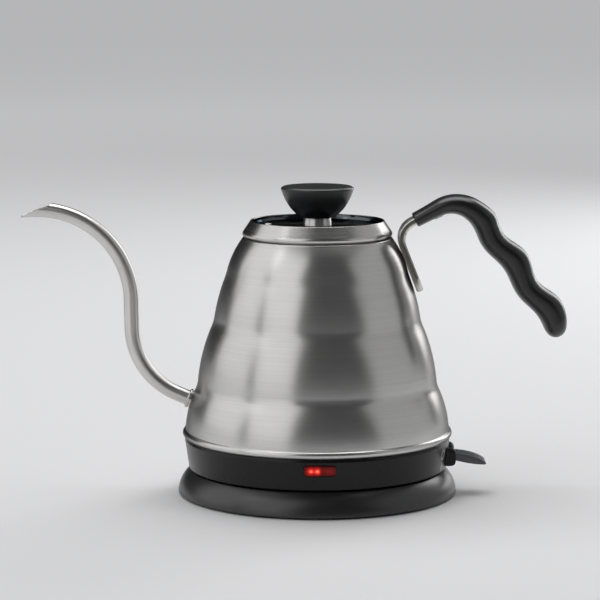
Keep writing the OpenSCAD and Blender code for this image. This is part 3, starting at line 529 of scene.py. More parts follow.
def moved(obj, place):
    """Puts each point of a piece where place says; both are in mm."""
    for vertex in obj.data.vertices:
        vertex.co = [c * MM for c in place(*(c / MM for c in vertex.co))]
    return obj


def mark_points(obj, verts, name, values):
    """Stores one value at each point; merged points keep the value of the last one there."""
    near = {tuple(round(c, 3) for c in v): value for v, value in zip(verts, values)}
    layer = obj.data.attributes.new(name, "FLOAT", "POINT")
    for vertex in obj.data.vertices:
        layer.data[vertex.index].value = near.get(tuple(round(c / MM, 3) for c in vertex.co), 0.0)


def face_outwards(obj):
    """Merges doubled points and turns the faces outwards."""
    shape = bmesh.new()
    shape.from_mesh(obj.data)
    if shape.faces:
        bmesh.ops.remove_doubles(shape, verts=shape.verts, dist=MERGE_REACH)
        bmesh.ops.recalc_face_normals(shape, faces=shape.faces)
    shape.to_mesh(obj.data)
    shape.free()


def plain_mesh(obj):
    """Turns an object and its modifiers into a plain mesh."""
    graph = bpy.context.evaluated_depsgraph_get()
    mesh = bpy.data.meshes.new_from_object(obj.evaluated_get(graph))
    obj.modifiers.clear()
    obj.data = mesh


def bevelled(obj, width, segments, angle=40):
    """Rounds the sharp edges of a piece."""
    modifier = obj.modifiers.new("soft_edges", "BEVEL")
    modifier.width = width * MM
    modifier.segments = segments
    modifier.limit_method = "ANGLE"
    modifier.angle_limit = math.radians(angle)
    modifier.harden_normals = False
    plain_mesh(obj)
    return obj


def carved(obj, *cutters, operation="DIFFERENCE"):
    """Cuts scratch shapes out of a piece one after another, or joins them on."""
    for cutter in cutters:
        modifier = obj.modifiers.new("carve", "BOOLEAN")
        modifier.object = cutter
        modifier.operation = operation
        modifier.solver = "EXACT"
        plain_mesh(obj)
        bpy.data.objects.remove(cutter)
    return obj


def dressed(obj, body, finish, replaces):
    """Finishes a piece: faces outwards, smooth, clad, and riding on its body."""
    face_outwards(obj)
    mesh = obj.data
    mesh.materials.clear()
    mesh.materials.append(FINISH[finish])
    mesh.polygons.foreach_set("material_index", [0] * len(mesh.polygons))
    mesh.polygons.foreach_set("use_smooth", [True] * len(mesh.polygons))
    mesh.set_sharp_from_angle(angle=SMOOTH_BELOW)
    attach(obj, body)
    if replaces:
        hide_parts(*replaces)


def turned(name, outline, finish, steps):
    """A turned shape from a closed outline of (radius, height) points."""
    closed = outline + outline[:1]
    edges = [(i, i + 1) for i in range(len(outline))]
    obj = scratch(name, [(r, 0, z) for r, z in closed], [], edges)
    return TURNING.made_from(obj, FINISH[finish], Steps=steps)


def ring_of(obj, finish, count, radius, start, step):
    """Copies of a shape on a circle; radius in mm, angles in degrees."""
    return RING.made_from(obj, FINISH[finish], Count=count, Radius=radius * MM,
                          Start=math.radians(start), Step=math.radians(step))


def skin(rings, caps=True):
    """Points and faces of a skin through rings of equal count, with a fan over each end."""
    k, n = len(rings[0]), len(rings)
    verts = [tuple(p) for ring in rings for p in ring]
    faces = [(i * k + j, i * k + (j + 1) % k, (i + 1) * k + (j + 1) % k, (i + 1) * k + j)
             for i in range(n - 1) for j in range(k)]
    for end in (0, n - 1) if caps else ():
        verts.append(tuple(sum(c) / k for c in zip(*rings[end])))
        faces += [(end * k + j, end * k + (j + 1) % k, len(verts) - 1) for j in range(k)]
    return verts, faces


def prism(outline, levels, place):
    """A stack of copies of an outline; each level is (height, grow), place makes the point."""
    return skin([[place(u, v, height) for u, v in grown(outline, grow)] for height, grow in levels])


def grown(outline, grow):
    """A closed outline moved outwards by grow along its own normals."""
    if not grow:
        return outline
    out = []
    n = len(outline)
    turn = 1 if signed_area(outline) > 0 else -1
    for i in range(n):
        along = (Vector(outline[(i + 1) % n]) - Vector(outline[i - 1])).normalized()
        out.append(Vector(outline[i]) + turn * grow * Vector((along.y, -along.x)))
    return out


def signed_area(outline):
    """Area of a closed outline, below zero where it runs clockwise."""
    return sum(p[0] * q[1] - q[0] * p[1] for p, q in zip(outline, outline[1:] + outline[:1])) / 2


def round_outline(radius, steps=48):
    """A closed circle about the origin."""
    return circle_arc((0, 0), radius, 0, 360, steps)[:-1]


def slot_outline(half, bottom, top, radius):
    """An upright rectangle about u = 0 with rounded corners."""
    return rounded([(-half, bottom, radius), (half, bottom, radius),
                    (half, top, radius), (-half, top, radius)], 3)


def upright(x, y):
    """Places an outline flat, with its levels going up."""
    return lambda u, v, w: (x + u, y + v, w)


def sideways(u, v, w):
    """Places an outline in the XZ plane, with its levels going along Y."""
    return (u, w, v)


# ---------------------------------------------------------------- finishes

FINE_GRAIN = 1100.0


class Finish(Nodes):
    """Builds one node material round its Principled shader."""

    def __init__(self, name, **values):
        self.material = bpy.data.materials.new(name)
        self.material.use_nodes = True
        self.tree = self.material.node_tree
        self.shader = self.tree.nodes["Principled BSDF"]
        self.place = self.node("ShaderNodeTexCoord")["Object"]
        for key, value in values.items():
            self.shader.inputs[key.replace("_", " ")].default_value = value

    def feed(self, output, socket):
        """Links a node's output to an input of the shader."""
        self.tree.links.new(output, self.shader.inputs[socket])

    def stretched(self, scale):
        """The place with its axes scaled, for lines and streaks."""
        return self.node("ShaderNodeMapping", {"Vector": self.place, "Scale": scale})[0]

    def noise(self, scale, detail=3.0, rough=0.5, at=None):
        """Clouds from 0 to 1 over the piece, or over a stretched place."""
        return self.node("ShaderNodeTexNoise", {
            "Vector": at or self.place, "Scale": scale, "Detail": detail, "Roughness": rough})["Fac"]

    def weighed(self, *parts):
        """The sum of values, each times its share."""
        total = None
        for value, share in parts:
            part = self.math("MULTIPLY", value, share)
            total = part if total is None else self.math("ADD", total, part)
        return total

    def spread(self, value, low_end, high_end, start=0.3, stop=0.7):
        """Stretches the middle of a noise over a span of values."""
        return self.node("ShaderNodeMapRange", {
            "Value": value, "From Min": start, "From Max": stop, "To Min": low_end, "To Max": high_end})[0]

    def tint(self, value, dark, light):
        """Colours the piece between two tones."""
        mix = self.tree.nodes.new("ShaderNodeMix")
        mix.data_type = "RGBA"
        colour_in = [s for s in mix.inputs if s.type == "RGBA"]
        colour_in[0].default_value = (*dark, 1)
        colour_in[1].default_value = (*light, 1)
        self.tree.links.new(value, mix.inputs[0])
        out = [s for s in mix.outputs if s.type == "RGBA"][0]
        self.feed(out, "Base Color")

    def relief(self, height, distance):
        """Bump whose full height is distance mm."""
        self.feed(self.node("ShaderNodeBump", {"Height": height, "Distance": distance * MM})[0], "Normal")


def brushed(name, dark, light, smooth, coarse, lines, streak, relief=0.0012, edge=1.0):
    """Steel brushed round its axis: fine level lines in tone, gloss and relief over slow clouds."""
    # Specular tint from edge: below 1 it darkens the reflection towards the outline, a painted shade.
    finish = Finish(name, Metallic=1.0, Anisotropic=streak, Anisotropic_Rotation=0.25,
                    Specular_Tint=(edge, edge, edge, 1))
    fine = finish.noise(1.0, detail=5.0, rough=0.62, at=finish.stretched((9, 9, lines)))
    broad = finish.noise(1.0, at=finish.stretched((4, 4, lines / 7)))
    cloud = finish.noise(16.0, detail=4.0, rough=0.55)
    tone = finish.weighed((fine, 0.45), (broad, 0.10), (cloud, 0.45))
    finish.tint(finish.spread(tone, 0, 1, start=0.36, stop=0.64), dark, light)
    finish.feed(finish.spread(tone, coarse, smooth, start=0.36, stop=0.64), "Roughness")
    finish.relief(finish.weighed((fine, 1.0), (broad, 0.4)), relief)
    finish.feed(finish.node("ShaderNodeTangent", direction_type="RADIAL", axis="Z")[0], "Tangent")
    return finish.material


def polished(name, dark, light, smooth, coarse, cloud_scale=60.0, relief=0.0015, edge=1.0, streak=0.0):
    """Smooth metal with faint marks of handling; a streak draws its reflections out along a tube."""
    # Specular tint from edge: below 1 it darkens the reflection towards the outline, a painted shade.
    finish = Finish(name, Metallic=1.0, Anisotropic=streak, Specular_Tint=(edge, edge, edge, 1))
    cloud = finish.noise(cloud_scale, detail=5.0, rough=0.6)
    fine = finish.noise(FINE_GRAIN, rough=0.6)
    finish.tint(finish.spread(cloud, 0, 1), dark, light)
    finish.feed(finish.spread(finish.weighed((cloud, 0.7), (fine, 0.3)), smooth, coarse), "Roughness")
    finish.relief(fine, relief)
    if streak:
        finish.feed(finish.node("ShaderNodeAttribute", attribute_name="along")["Vector"], "Tangent")
    return finish.material


def pressed_steel(name):
    """Strap steel: darker on the flanges' flat sides, a painted shade, and lighter along the rims and
    bends, a painted highlight.
    """
    # The dark specular tint dims the reflection towards the outline: painted shade.
    finish = Finish(name, Metallic=1.0, Specular_Tint=(0.3, 0.3, 0.3, 1))
    facing = finish.node("ShaderNodeSeparateXYZ", {0: finish.node("ShaderNodeTexCoord")["Normal"]})[1]
    # The flat sides, facing along Y, get the painted shade, mottled by clouds.
    flat = finish.spread(finish.math("ABSOLUTE", facing), 0.0, 1.0, start=0.80, stop=0.99)
    cloud = finish.noise(90.0, detail=4.0, rough=0.6)
    painted_light = finish.math("SUBTRACT", 1.0, finish.math("MULTIPLY", flat, finish.spread(cloud, 0.88, 1.0)))
    depth = finish.node("ShaderNodeAttribute", attribute_name="depth_share")["Fac"]
    # Painted highlights along both edges of the channel's section.
    for start, stop in ((-0.25, -0.62), (0.45, 0.85)):
        painted_light = finish.math("MAXIMUM", painted_light, finish.spread(depth, 0.0, 1.0, start=start, stop=stop))
    finish.tint(painted_light, (0.105, 0.095, 0.075), (0.76, 0.74, 0.70))
    finish.feed(finish.weighed((finish.spread(cloud, 0.17, 0.24), 1.0), (painted_light, 0.12)), "Roughness")
    finish.relief(finish.noise(FINE_GRAIN), 0.001)
    return finish.material


def moulded(name, dark, light, smooth, coarse, grain=0.006, pitch=1700.0, **values):
    """Moulded plastic or rubber: a fine grain and soft clouds of gloss."""
    finish = Finish(name, IOR=1.49, **values)
    cloud = finish.noise(40.0, detail=4.0, rough=0.55)
    grit = finish.noise(pitch, rough=0.6)
    finish.tint(finish.spread(cloud, 0, 1), dark, light)
    finish.feed(finish.spread(finish.weighed((cloud, 0.6), (grit, 0.4)), smooth, coarse), "Roughness")
    finish.relief(grit, grain)
    return finish.material


def lit_window(name):
    """Red window with the glow lamp's two hot spots behind it and a dim glow at its far end."""
    finish = Finish(name, IOR=1.3, Emission_Strength=1.0, Roughness=0.2)
    split = finish.node("ShaderNodeSeparateXYZ", {0: finish.place})

    def from_spot(value, centre, half):
        """Distance from a spot's centre, squared, in its own half widths."""
        off = finish.math("DIVIDE", finish.math("SUBTRACT", value, centre * MM), half * MM)
        return finish.math("MULTIPLY", off, off)

    up = from_spot(split[2], LAMP_Z, SPOT_HALF_H)
    spots = []
    for spot_x, half_w, power in SPOTS:
        far = finish.math("ADD", from_spot(split[0], LAMP_X + spot_x, half_w), up)
        spots.append((finish.math("POWER", SPOT_FALL, far), power))
    speck = finish.spread(finish.noise(FINE_GRAIN, detail=2.0), 0.75, 1.15)
    ramp = finish.tree.nodes.new("ShaderNodeValToRGB")
    stops = ramp.color_ramp.elements
    stops[0].color = (0.012, 0.0003, 0.0003, 1)
    stops[1].color = (1.0, 0.22, 0.12, 1)
    stops.new(0.35).color = (0.32, 0.004, 0.003, 1)
    stops.new(0.75).color = (0.90, 0.030, 0.018, 1)
    finish.tree.links.new(finish.math("MULTIPLY", finish.weighed(*spots), speck), ramp.inputs[0])
    finish.feed(ramp.outputs[0], "Emission Color")
    finish.tint(finish.noise(300.0), (0.030, 0.001, 0.001), (0.060, 0.002, 0.002))
    return finish.material


def make_finishes():
    """Each finish: its dark and light tones, then its gloss from smooth to coarse; an edge below 1 is
    painted shade along its outline.
    """
    return {
        "vessel": brushed("brushed_vessel", (0.57, 0.565, 0.555), (0.68, 0.675, 0.665), 0.276, 0.300,
                          lines=2400, streak=0.56, relief=0.0005, edge=0.22),
        "lid": brushed("brushed_lid", (0.55, 0.545, 0.535), (0.65, 0.64, 0.625), 0.22, 0.30,
                       lines=2200, streak=0.5, edge=0.3),
        # The collar's steel is set much lighter than the other steel: a painted highlight.
        "collar": brushed("turned_collar", (0.86, 0.845, 0.82), (0.94, 0.925, 0.90), 0.32, 0.38,
                          lines=2200, streak=0.9, relief=0.0003, edge=0.9),
        "inner": brushed("inner_steel", (0.44, 0.44, 0.43), (0.56, 0.555, 0.545), 0.32, 0.44,
                         lines=700, streak=0.3),
        "bead": polished("rolled_bead", (0.58, 0.57, 0.555), (0.68, 0.67, 0.65), 0.18, 0.26, edge=0.4),
        "spout": polished("satin_spout", (0.60, 0.59, 0.575), (0.70, 0.69, 0.67), 0.28, 0.35,
                          cloud_scale=35.0, relief=0.0006, edge=0.6, streak=0.85),
        # The dish's steel is set near black with a blue cast and a dark edge: a painted dark reflection.
        "dish": polished("dark_mirror_dish", (0.10, 0.112, 0.124), (0.12, 0.133, 0.146), 0.08, 0.14,
                         cloud_scale=30.0, relief=0.0004, edge=0.06),
        "zinc": polished("plated_steel", (0.52, 0.52, 0.50), (0.64, 0.64, 0.62), 0.24, 0.36),
        "element": polished("element_sheath", (0.11, 0.10, 0.09), (0.20, 0.18, 0.16), 0.40, 0.55),
        "aluminium": polished("cast_aluminium", (0.58, 0.58, 0.57), (0.72, 0.72, 0.71), 0.38, 0.52),
        "brass": polished("contact_brass", (0.58, 0.40, 0.17), (0.72, 0.53, 0.25), 0.22, 0.34),
        "bracket": pressed_steel("pressed_bracket"),
        "base": moulded("base_black", (0.009, 0.009, 0.010), (0.014, 0.014, 0.015), 0.30, 0.38,
                        Specular_IOR_Level=0.95),
        "housing": moulded("housing_black", (0.005, 0.005, 0.006), (0.008, 0.008, 0.009), 0.24, 0.34,
                           grain=0.004, Specular_IOR_Level=0.3),
        "grip": moulded("grip_black", (0.008, 0.008, 0.009), (0.012, 0.012, 0.013), 0.25, 0.35,
                        grain=0.004, Specular_IOR_Level=0.64),
        "knob": moulded("knob_black", (0.010, 0.010, 0.011), (0.015, 0.015, 0.016), 0.30, 0.40),
        "lever": moulded("lever_grey", (0.095, 0.095, 0.105), (0.125, 0.125, 0.137), 0.20, 0.30,
                         grain=0.004),
        "nylon": moulded("white_nylon", (0.60, 0.57, 0.50), (0.72, 0.69, 0.62), 0.42, 0.55, grain=0.008),
        "rubber": moulded("soft_rubber", (0.020, 0.020, 0.020), (0.030, 0.030, 0.030), 0.60, 0.75,
                          grain=0.012, pitch=1200.0),
        "sleeve": moulded("wire_sleeve", (0.34, 0.06, 0.05), (0.42, 0.09, 0.07), 0.45, 0.55),
        "print": moulded("switch_print", (0.46, 0.46, 0.46), (0.54, 0.54, 0.54), 0.50, 0.60, grain=0.003),
        "lens": lit_window("lamp_window_red"),
        "bulb": moulded("lamp_bulb", (0.75, 0.28, 0.18), (0.88, 0.42, 0.28), 0.10, 0.16, grain=0.001),
    }


# ---------------------------------------------------------------- power base

def make_base():
    """The base's cover, with its recess for the kettle and the gland's hole in its back."""
    under_deck, under_recess = DECK_Z - BASE_WALL, RECESS_Z - BASE_WALL
    brow_foot = (DECK_R + BROW_W, DECK_Z - BROW_H)
    shell = rounded([(RECESS_R + BASE_WALL, under_deck, 0.5), (RECESS_R + BASE_WALL, under_recess, 0.5),
                     (BOSS_R + BOSS_GAP, under_recess, 0), (BOSS_R + BOSS_GAP, RECESS_Z, 0.3),
                     (RECESS_R, RECESS_Z, 0.6), (RECESS_R, DECK_Z, 0.5)])
    brow = swoop((DECK_R - 0.6, DECK_Z), (DECK_R + BROW_W / 2, DECK_Z), brow_foot, 6)
    side = arc((BASE_R, FOOT_H + 0.5), brow_foot, BASE_BULGE, 30)
    foot = [(BASE_R - 0.25, FOOT_H), (BASE_R - BASE_WALL, FOOT_H)]
    inside = arc((BASE_R - BASE_WALL, FOOT_H + 0.4), (DECK_R - BASE_WALL, under_deck), BASE_BULGE, 16)
    cover = turned("base_cover", shell + brow[:-1] + side[::-1] + foot + inside, "base", steps=192)
    hole = prism(round_outline(GLAND_R + 0.05), [(GLAND_IN_Y - 4, 0), (BASE_R + 5, 0)],
                 lambda u, v, w: (u, w, GLAND_Z + v))
    carved(cover, scratch("gland_hole", *hole))
    dressed(cover, "power_base", "base", ["base_shell"])


def make_gland():
    """The rubber gland in the base's back, turned and then laid along Y."""
    collar = rounded([(GLAND_BORE_R, GLAND_IN_Y, 0.2), (GLAND_R, GLAND_IN_Y, 0.2),
                      (GLAND_R, GLAND_OUT_Y, 0.45), (GLAND_BORE_R, GLAND_OUT_Y, 0.35)])
    gland = moved(turned("gland_collar", collar, "rubber", steps=48), lambda x, y, z: (x, z, GLAND_Z - y))
    dressed(gland, "power_base", "rubber", ["cord_gland"])


def make_connector():
    """The round boss whose two ring slots and centre hole let the kettle plug in at any angle."""
    under = RECESS_Z - BASE_WALL
    flange_z = under - BOSS_FLANGE_T
    slot_z = BOSS_TOP_Z - RING_DEPTH
    corners = [(0, BOSS_FOOT_Z, 0), (BOSS_FOOT_R, BOSS_FOOT_Z, 0.3), (BOSS_FOOT_R, flange_z, 0),
               (BOSS_FLANGE_R, flange_z, 0.3), (BOSS_FLANGE_R, under, 0.2), (BOSS_R, under, 0),
               (BOSS_R, BOSS_TOP_Z, 1.0)]
    for inner in (RING_B_R, RING_A_R):
        outer = inner + RING_W
        corners += [(outer, BOSS_TOP_Z, 0.3), (outer, slot_z, 0.1), (inner, slot_z, 0.1),
                    (inner, BOSS_TOP_Z, 0.3)]
    corners += [(CENTRE_HOLE_R, BOSS_TOP_Z, 0.4), (CENTRE_HOLE_R, slot_z, 0.1), (0, slot_z, 0)]
    boss = turned("connector_boss", rounded(corners, 3), "nylon", steps=96)
    dressed(boss, "power_base", "nylon", ["base_connector"])


def make_screws():
    """Cross-head screws in the base's underside and in the kettle's bottom cover."""
    for name, node, body, radius, first_turn in (
            ("base_plate_screws", "base_screws", "power_base", BASE_SCREW_R, 30),
            ("bottom_cover_screws", "housing_screws", "kettle", COVER_SCREW_R, 60)):
        bottom, top = low(node, Z), high(node, Z)
        neck = bottom + SCREW_HEAD_H
        outline = rounded([(0, bottom, 0), (SCREW_HEAD_R, bottom, 0.35), (SCREW_HEAD_R, neck, 0.1),
                           (SCREW_R, neck, 0), (SCREW_R, top, 0.2), (0, top, 0)], 3)
        screw = turned(name, outline, "zinc", steps=40)
        for x, y in ((CROSS_REACH, CROSS_HALF), (CROSS_HALF, CROSS_REACH)):
            bar = prism([(-x, -y), (x, -y), (x, y), (-x, y)],
                        [(bottom - 1, 0), (bottom + CROSS_DEPTH, 0)], upright(0, 0))
            carved(screw, scratch("cross", *bar))
        ring_of(screw, "zinc", SCREW_COUNT, radius, first_turn, 360 / SCREW_COUNT)
        dressed(screw, body, "zinc", [node])


# ---------------------------------------------------------------- kettle housing

def lamp_outline(grow=0.0, steps=6):
    """The lamp window's round-cornered outline, moved outwards by grow."""
    half_l, half_h, corner = LAMP_L / 2 + grow, LAMP_H / 2 + grow, LAMP_CORNER + grow
    points = []
    for sx, sz, start in ((1, -1, -90), (1, 1, 0), (-1, 1, 90), (-1, -1, 180)):
        centre = (LAMP_X + sx * (half_l - corner), LAMP_Z + sz * (half_h - corner))
        points += circle_arc(centre, corner, start, start + 90, steps)
    return points


def housing_r(z):
    """Outer radius of the housing at a height."""
    share = (z - HOUSING_Z) / (HOUSING_TOP_Z - SHOULDER_H - HOUSING_Z)
    return HOUSING_LOW_R + (HOUSING_TOP_R - HOUSING_LOW_R) * min(1, max(0, share))


def make_housing():
    """The housing's ring with its seam flange, the ears round the lever's slot, and the window."""
    rim_in_r = HOUSING_TOP_R - TOP_RIM_W
    outline = rounded([(HOUSING_IN_R, HOUSING_Z, 0.3), (HOUSING_LOW_R, HOUSING_Z, 0.9),
                       (HOUSING_TOP_R, HOUSING_TOP_Z - SHOULDER_H, 0.6),
                       (HOUSING_TOP_R - SHOULDER_IN, HOUSING_TOP_Z, 0.3),
                       (rim_in_r, HOUSING_TOP_Z, 0.2), (rim_in_r, FLANGE_TOP_Z, 0.1),
                       (FLANGE_IN_R, FLANGE_TOP_Z, 0.2), (FLANGE_IN_R, FLANGE_LOW_Z, 0.2),
                       (HOUSING_IN_R, FLANGE_LOW_Z, 0.4)], 4)
    ring = turned("housing_ring", outline, "housing", steps=192)

    low_z, high_z = SLOT_LOW_Z - EAR_MARGIN, SLOT_HIGH_Z + EAR_MARGIN
    ear = rounded([(HOUSING_IN_R, low_z, 0), (EAR_OUT_X, low_z, EAR_CORNER),
                   (EAR_OUT_X, high_z, EAR_CORNER), (HOUSING_IN_R, high_z, 0)], 8)
    ears = scratch("ears", *prism(ear, [(-EAR_HALF, 0), (EAR_HALF, 0)], sideways))
    carved(ring, bevelled(ears, 0.6, segments=4, angle=60), operation="UNION")

    slot = prism(slot_outline(SLOT_HALF, SLOT_LOW_Z, SLOT_HIGH_Z, 0.5),
                 [(HOUSING_IN_R - 6, 0), (EAR_OUT_X - 0.4, 0), (EAR_OUT_X + 1, 0.9)],
                 lambda u, v, w: (w, u, v))
    front = -housing_r(LAMP_Z)
    window = prism(lamp_outline(), [(6 - HOUSING_IN_R, 0.05), (front + 0.45, 0.05), (front - 1.5, 1.2)],
                   sideways)
    carved(ring, scratch("lever_slot", *slot), scratch("window", *window))
    dressed(ring, "kettle", "housing", ["housing_band"])


def make_lamp():
    """The lens: a pillow with soft edges that follows the housing's curve."""

    def on_front(x, z, proud):
        """The point at x and z, proud of the housing's front."""
        return (x, -math.sqrt(housing_r(z) ** 2 - x ** 2) - proud, z)

    edge = ((0, -LENS_DEPTH), (0, -0.35), (0.06, -0.12), (0.22, 0.02), (0.5, 0.10), (0.9, 0.14))
    rings = [[on_front(x, z, proud) for x, z in lamp_outline(-inset)] for inset, proud in edge]
    for share in LENS_STEPS:
        rings.append([on_front(LAMP_X + (x - LAMP_X) * share, LAMP_Z + (z - LAMP_Z) * share, LENS_PROUD)
                      for x, z in lamp_outline(-LENS_SOFT)])
    dressed(scratch("lamp_window", *skin(rings)), "kettle", "lens", ["lamp_lens"])


def on_wall(u, z, proud):
    """The point u round the housing from the marks' middle, at height z and proud of its face."""
    r = housing_r(z) + proud
    turn = math.radians(MARK_TURN) + u / r
    return (r * math.cos(turn), r * math.sin(turn), z)


def make_switch_marks():
    """A ring and a bar beside the lever: the plain marks for off and on."""
    section = ((-MARK_W, -MARK_SUNK), (-MARK_W, 0.04), (0, 0.06), (MARK_W, 0.04), (MARK_W, -MARK_SUNK))
    loops = [[on_wall(u, OFF_MARK_Z + v, proud) for u, v in round_outline(OFF_MARK_R + off)]
             for off, proud in section]
    ring = scratch("off_mark", *skin(loops + loops[:1], caps=False))
    dressed(ring, "kettle", "print", ())

    bar = slot_outline(1.5 * MARK_W, ON_MARK_LOW_Z, ON_MARK_HIGH_Z, 0.2)
    rings = [[on_wall(u, z, proud) for u, z in bar] for proud in (-MARK_SUNK, 0.05)]
    dressed(scratch("on_mark", *skin(rings)), "kettle", "print", ())


def make_lever():
    """The lever's blade and the hub round its pin."""
    high_z, low_z = LEVER_TIP_H / 2 - LEVER_DROP, -LEVER_TIP_H / 2 - LEVER_DROP
    tip_top, tip_foot = (LEVER_REACH - 0.2, high_z), (LEVER_REACH - LEVER_TIP_H, low_z)
    top = swoop((LEVER_ROOT, LEVER_ROOT_H), (LEVER_REACH - 4.9, LEVER_ROOT_H / 2), tip_top, 20)
    nose = swoop(tip_top, (LEVER_REACH + 0.25, low_z), tip_foot, 8)
    under = swoop(tip_foot, (LEVER_REACH - 7.4, low_z), (LEVER_ROOT, -LEVER_ROOT_H), 16)
    root = [Vector((-1, -LEVER_ROOT_H)), Vector((-1, LEVER_ROOT_H))]

    def across(outline, over=0):
        """An outline about the pin, drawn out over the lever's width."""
        half = LEVER_W / 2 + over
        return prism(outline, [(-half, 0), (half, 0)], lambda u, v, w: (LEVER_X + u, w, LEVER_Z + v))

    lever = scratch("lever_blade", *across(top + nose[1:] + under[1:] + root))
    carved(lever, scratch("hub", *across(round_outline(LEVER_HUB_R, steps=64))), operation="UNION")
    carved(lever, scratch("bore", *across(round_outline(LEVER_BORE_R, steps=32), 1)))
    bevelled(lever, 0.4, segments=3)
    dressed(lever, "lever", "lever", ["switch_lever"])


# ---------------------------------------------------------------- vessel

def wall_line(inset):
    """The tiers of the wall from its foot up, with the creases between them softened."""
    r, z = WALL_FOOT_R - inset, FLOOR_Z
    line = [Vector((r, z - down)) for down in WALL_BELOW]
    for height, step, bulge in zip(TIER_H, TIER_IN, TIER_BULGE):
        line += arc((r, z), (r - step, z + height), bulge, 44)[1 if z > FLOOR_Z else 0:]
        r, z = r - step, z + height
    return softened(line, CREASE_REACH)


def make_vessel():
    """The wall: its tiers, the bead rolled out at its foot, and the lip turned in at its mouth."""
    outer, inner = wall_line(0), wall_line(WALL)
    meet = math.degrees(math.acos((WALL_FOOT_R - BEAD_RING_R) / BEAD_R))
    foot = circle_arc((BEAD_RING_R, BEAD_Z), BEAD_R, meet + BEAD_FROM, meet + BEAD_TO - 360, 44)
    neck = swoop(outer[0], (WALL_FOOT_R, foot[0].y + 0.2), foot[0], 5)[1:-1]
    top, lip, under_z = outer[-1], (MOUTH_R, MOUTH_Z - WALL / 2), MOUTH_Z - WALL
    mouth = swoop(top, (top.x - 0.3, MOUTH_Z), (top.x - 1.3, MOUTH_Z), 5)[1:]
    mouth += swoop((MOUTH_R + 0.3, MOUTH_Z), (MOUTH_R, MOUTH_Z), lip, 3)
    mouth += swoop(lip, (MOUTH_R, under_z), (MOUTH_R + 0.3, under_z), 3)[1:]
    outline = inner + [(inner[-1].x - 0.6, under_z)] + mouth[::-1] + outer[::-1] + neck + foot
    wall = turned("vessel_wall", outline, "vessel", steps=200)
    dressed(wall, "kettle", "vessel", ["body_shell"])


# ---------------------------------------------------------------- spout

def spout_start():
    """The station where the tube leaves the wall, heading out and up."""
    return (SPOUT_ROOT[0], SPOUT_ROOT[1], 180 - SPOUT_SLOPE)


def mark_headings(obj, path):
    """Stores the direction of the path at each point of a tube round it."""
    tree = kdtree.KDTree(len(path))
    for i, (x, z, _) in enumerate(path):
        tree.insert((x * MM, 0, z * MM), i)
    tree.balance()
    layer = obj.data.attributes.new("along", "FLOAT_VECTOR", "POINT")
    for vertex in obj.data.vertices:
        heading = math.radians(path[tree.find((vertex.co.x, 0, vertex.co.z))[1]][2])
        layer.data[vertex.index].vector = (math.cos(heading), 0, math.sin(heading))


def lip_rings(path, edge, lean, sides=12, count=120):
    """The rolled rim along the line where the slanted cut meets the middle of the tube's wall."""
    normal = Vector((math.sin(lean), 0, math.cos(lean)))
    wall_r = SPOUT_R - SPOUT_WALL / 2

    def on_tube(share, turn):
        """The point on the wall at a share of the path's stations, and the way out of the tube there."""
        i = min(int(share), len(path) - 2)
        at = tuple(p + (q - p) * (share - i) for p, q in zip(path[i], path[i + 1]))
        point = Vector(beside(at, wall_r * math.cos(turn), wall_r * math.sin(turn)))
        return point, Vector(beside((0, 0, at[2]), math.cos(turn), math.sin(turn)))

    line = []
    for j in range(count):
        turn = math.tau * j / count
        near, far = len(path) - 30.0, len(path) - 1.001     # the cut crosses the wall between these
        for _ in range(30):
            middle = (near + far) / 2
            if (on_tube(middle, turn)[0] - edge).dot(normal) > 0:
                near = middle
            else:
                far = middle
        line.append(on_tube(near, turn))
    rings = []
    for j in range(count + 1):
        point, out = line[j % count]
        along = (line[(j + 1) % count][0] - line[j % count - 1][0]).normalized()
        u = (out - along * out.dot(along)).normalized()
        v = along.cross(u)
        rings.append([point + LIP_R * (math.cos(a) * u + math.sin(a) * v)
                      for a in (math.tau * i / sides for i in range(sides))])
    return rings


def make_spout():
    """The bent tube with its slanted cut, and the rim rolled along the cut."""
    start = advance(spout_start(), -SPOUT_INSIDE - SPOUT_SPARE)
    path = stations(start, ((SPOUT_INSIDE + SPOUT_SPARE, 0),) + SPOUT_RUNS, SPOUT_PITCH)
    tip = path[-1]
    path.append(advance(tip, SPOUT_SPARE + 0.6))
    points = [(x, 0, z) for x, z, _ in path]
    tube = scratch("spout", points, [], [(i, i + 1) for i in range(len(points) - 1)])
    edge = Vector(beside(tip, SPOUT_R))
    lean = math.radians(-tip[2] - SPOUT_CUT)
    GOOSENECK.made_from(tube, FINISH["spout"], Radius=SPOUT_R * MM, Wall=SPOUT_WALL * MM,
                        Over=SPOUT_SPARE * MM, Sides=SPOUT_SIDES, Tip=tuple(edge * MM), Turn=(0, lean, 0))
    mark_headings(tube, path)
    dressed(tube, "kettle", "spout", ["spout_tube"])

    lip = scratch("spout_lip", *skin(lip_rings(path, edge, lean), caps=False))
    dressed(lip, "kettle", "bead", ["spout_tube"])


def make_ferrule():
    """The flanged collar round the spout's root, turned and then leant along the tube."""
    flange = rounded([(SPOUT_R + 0.02, -FERRULE_IN, 0), (FERRULE_R - 0.5, -FERRULE_IN, 0),
                      (FERRULE_R - 0.5, 0.9, 0.15), (FERRULE_R, 1.0, 0.15), (FERRULE_R, 1.9, 0.4),
                      (SPOUT_R + 0.5, 2.0, 0.3), (SPOUT_R + 0.02, FERRULE_OUT, 0.1)], 4)
    ferrule = moved(turned("spout_flange", flange, "bead", steps=SPOUT_SIDES),
                    lambda x, y, z: beside(advance(spout_start(), z), x, y))
    dressed(ferrule, "kettle", "bead", ["spout_ferrule"])


# ---------------------------------------------------------------- handle

def bracket_start():
    """The station at the bracket's foot, on the vessel's wall."""
    return (*BRACKET_FOOT, 90 + BRACKET_LEAN)


def grip_start():
    """The station where the bracket enters the grip."""
    runs = ((BRACKET_L, 0), (BRACKET_BEND, -BRACKET_TURN), (BRACKET_NECK_L, 0))
    return stations(bracket_start(), runs, 1)[-1]


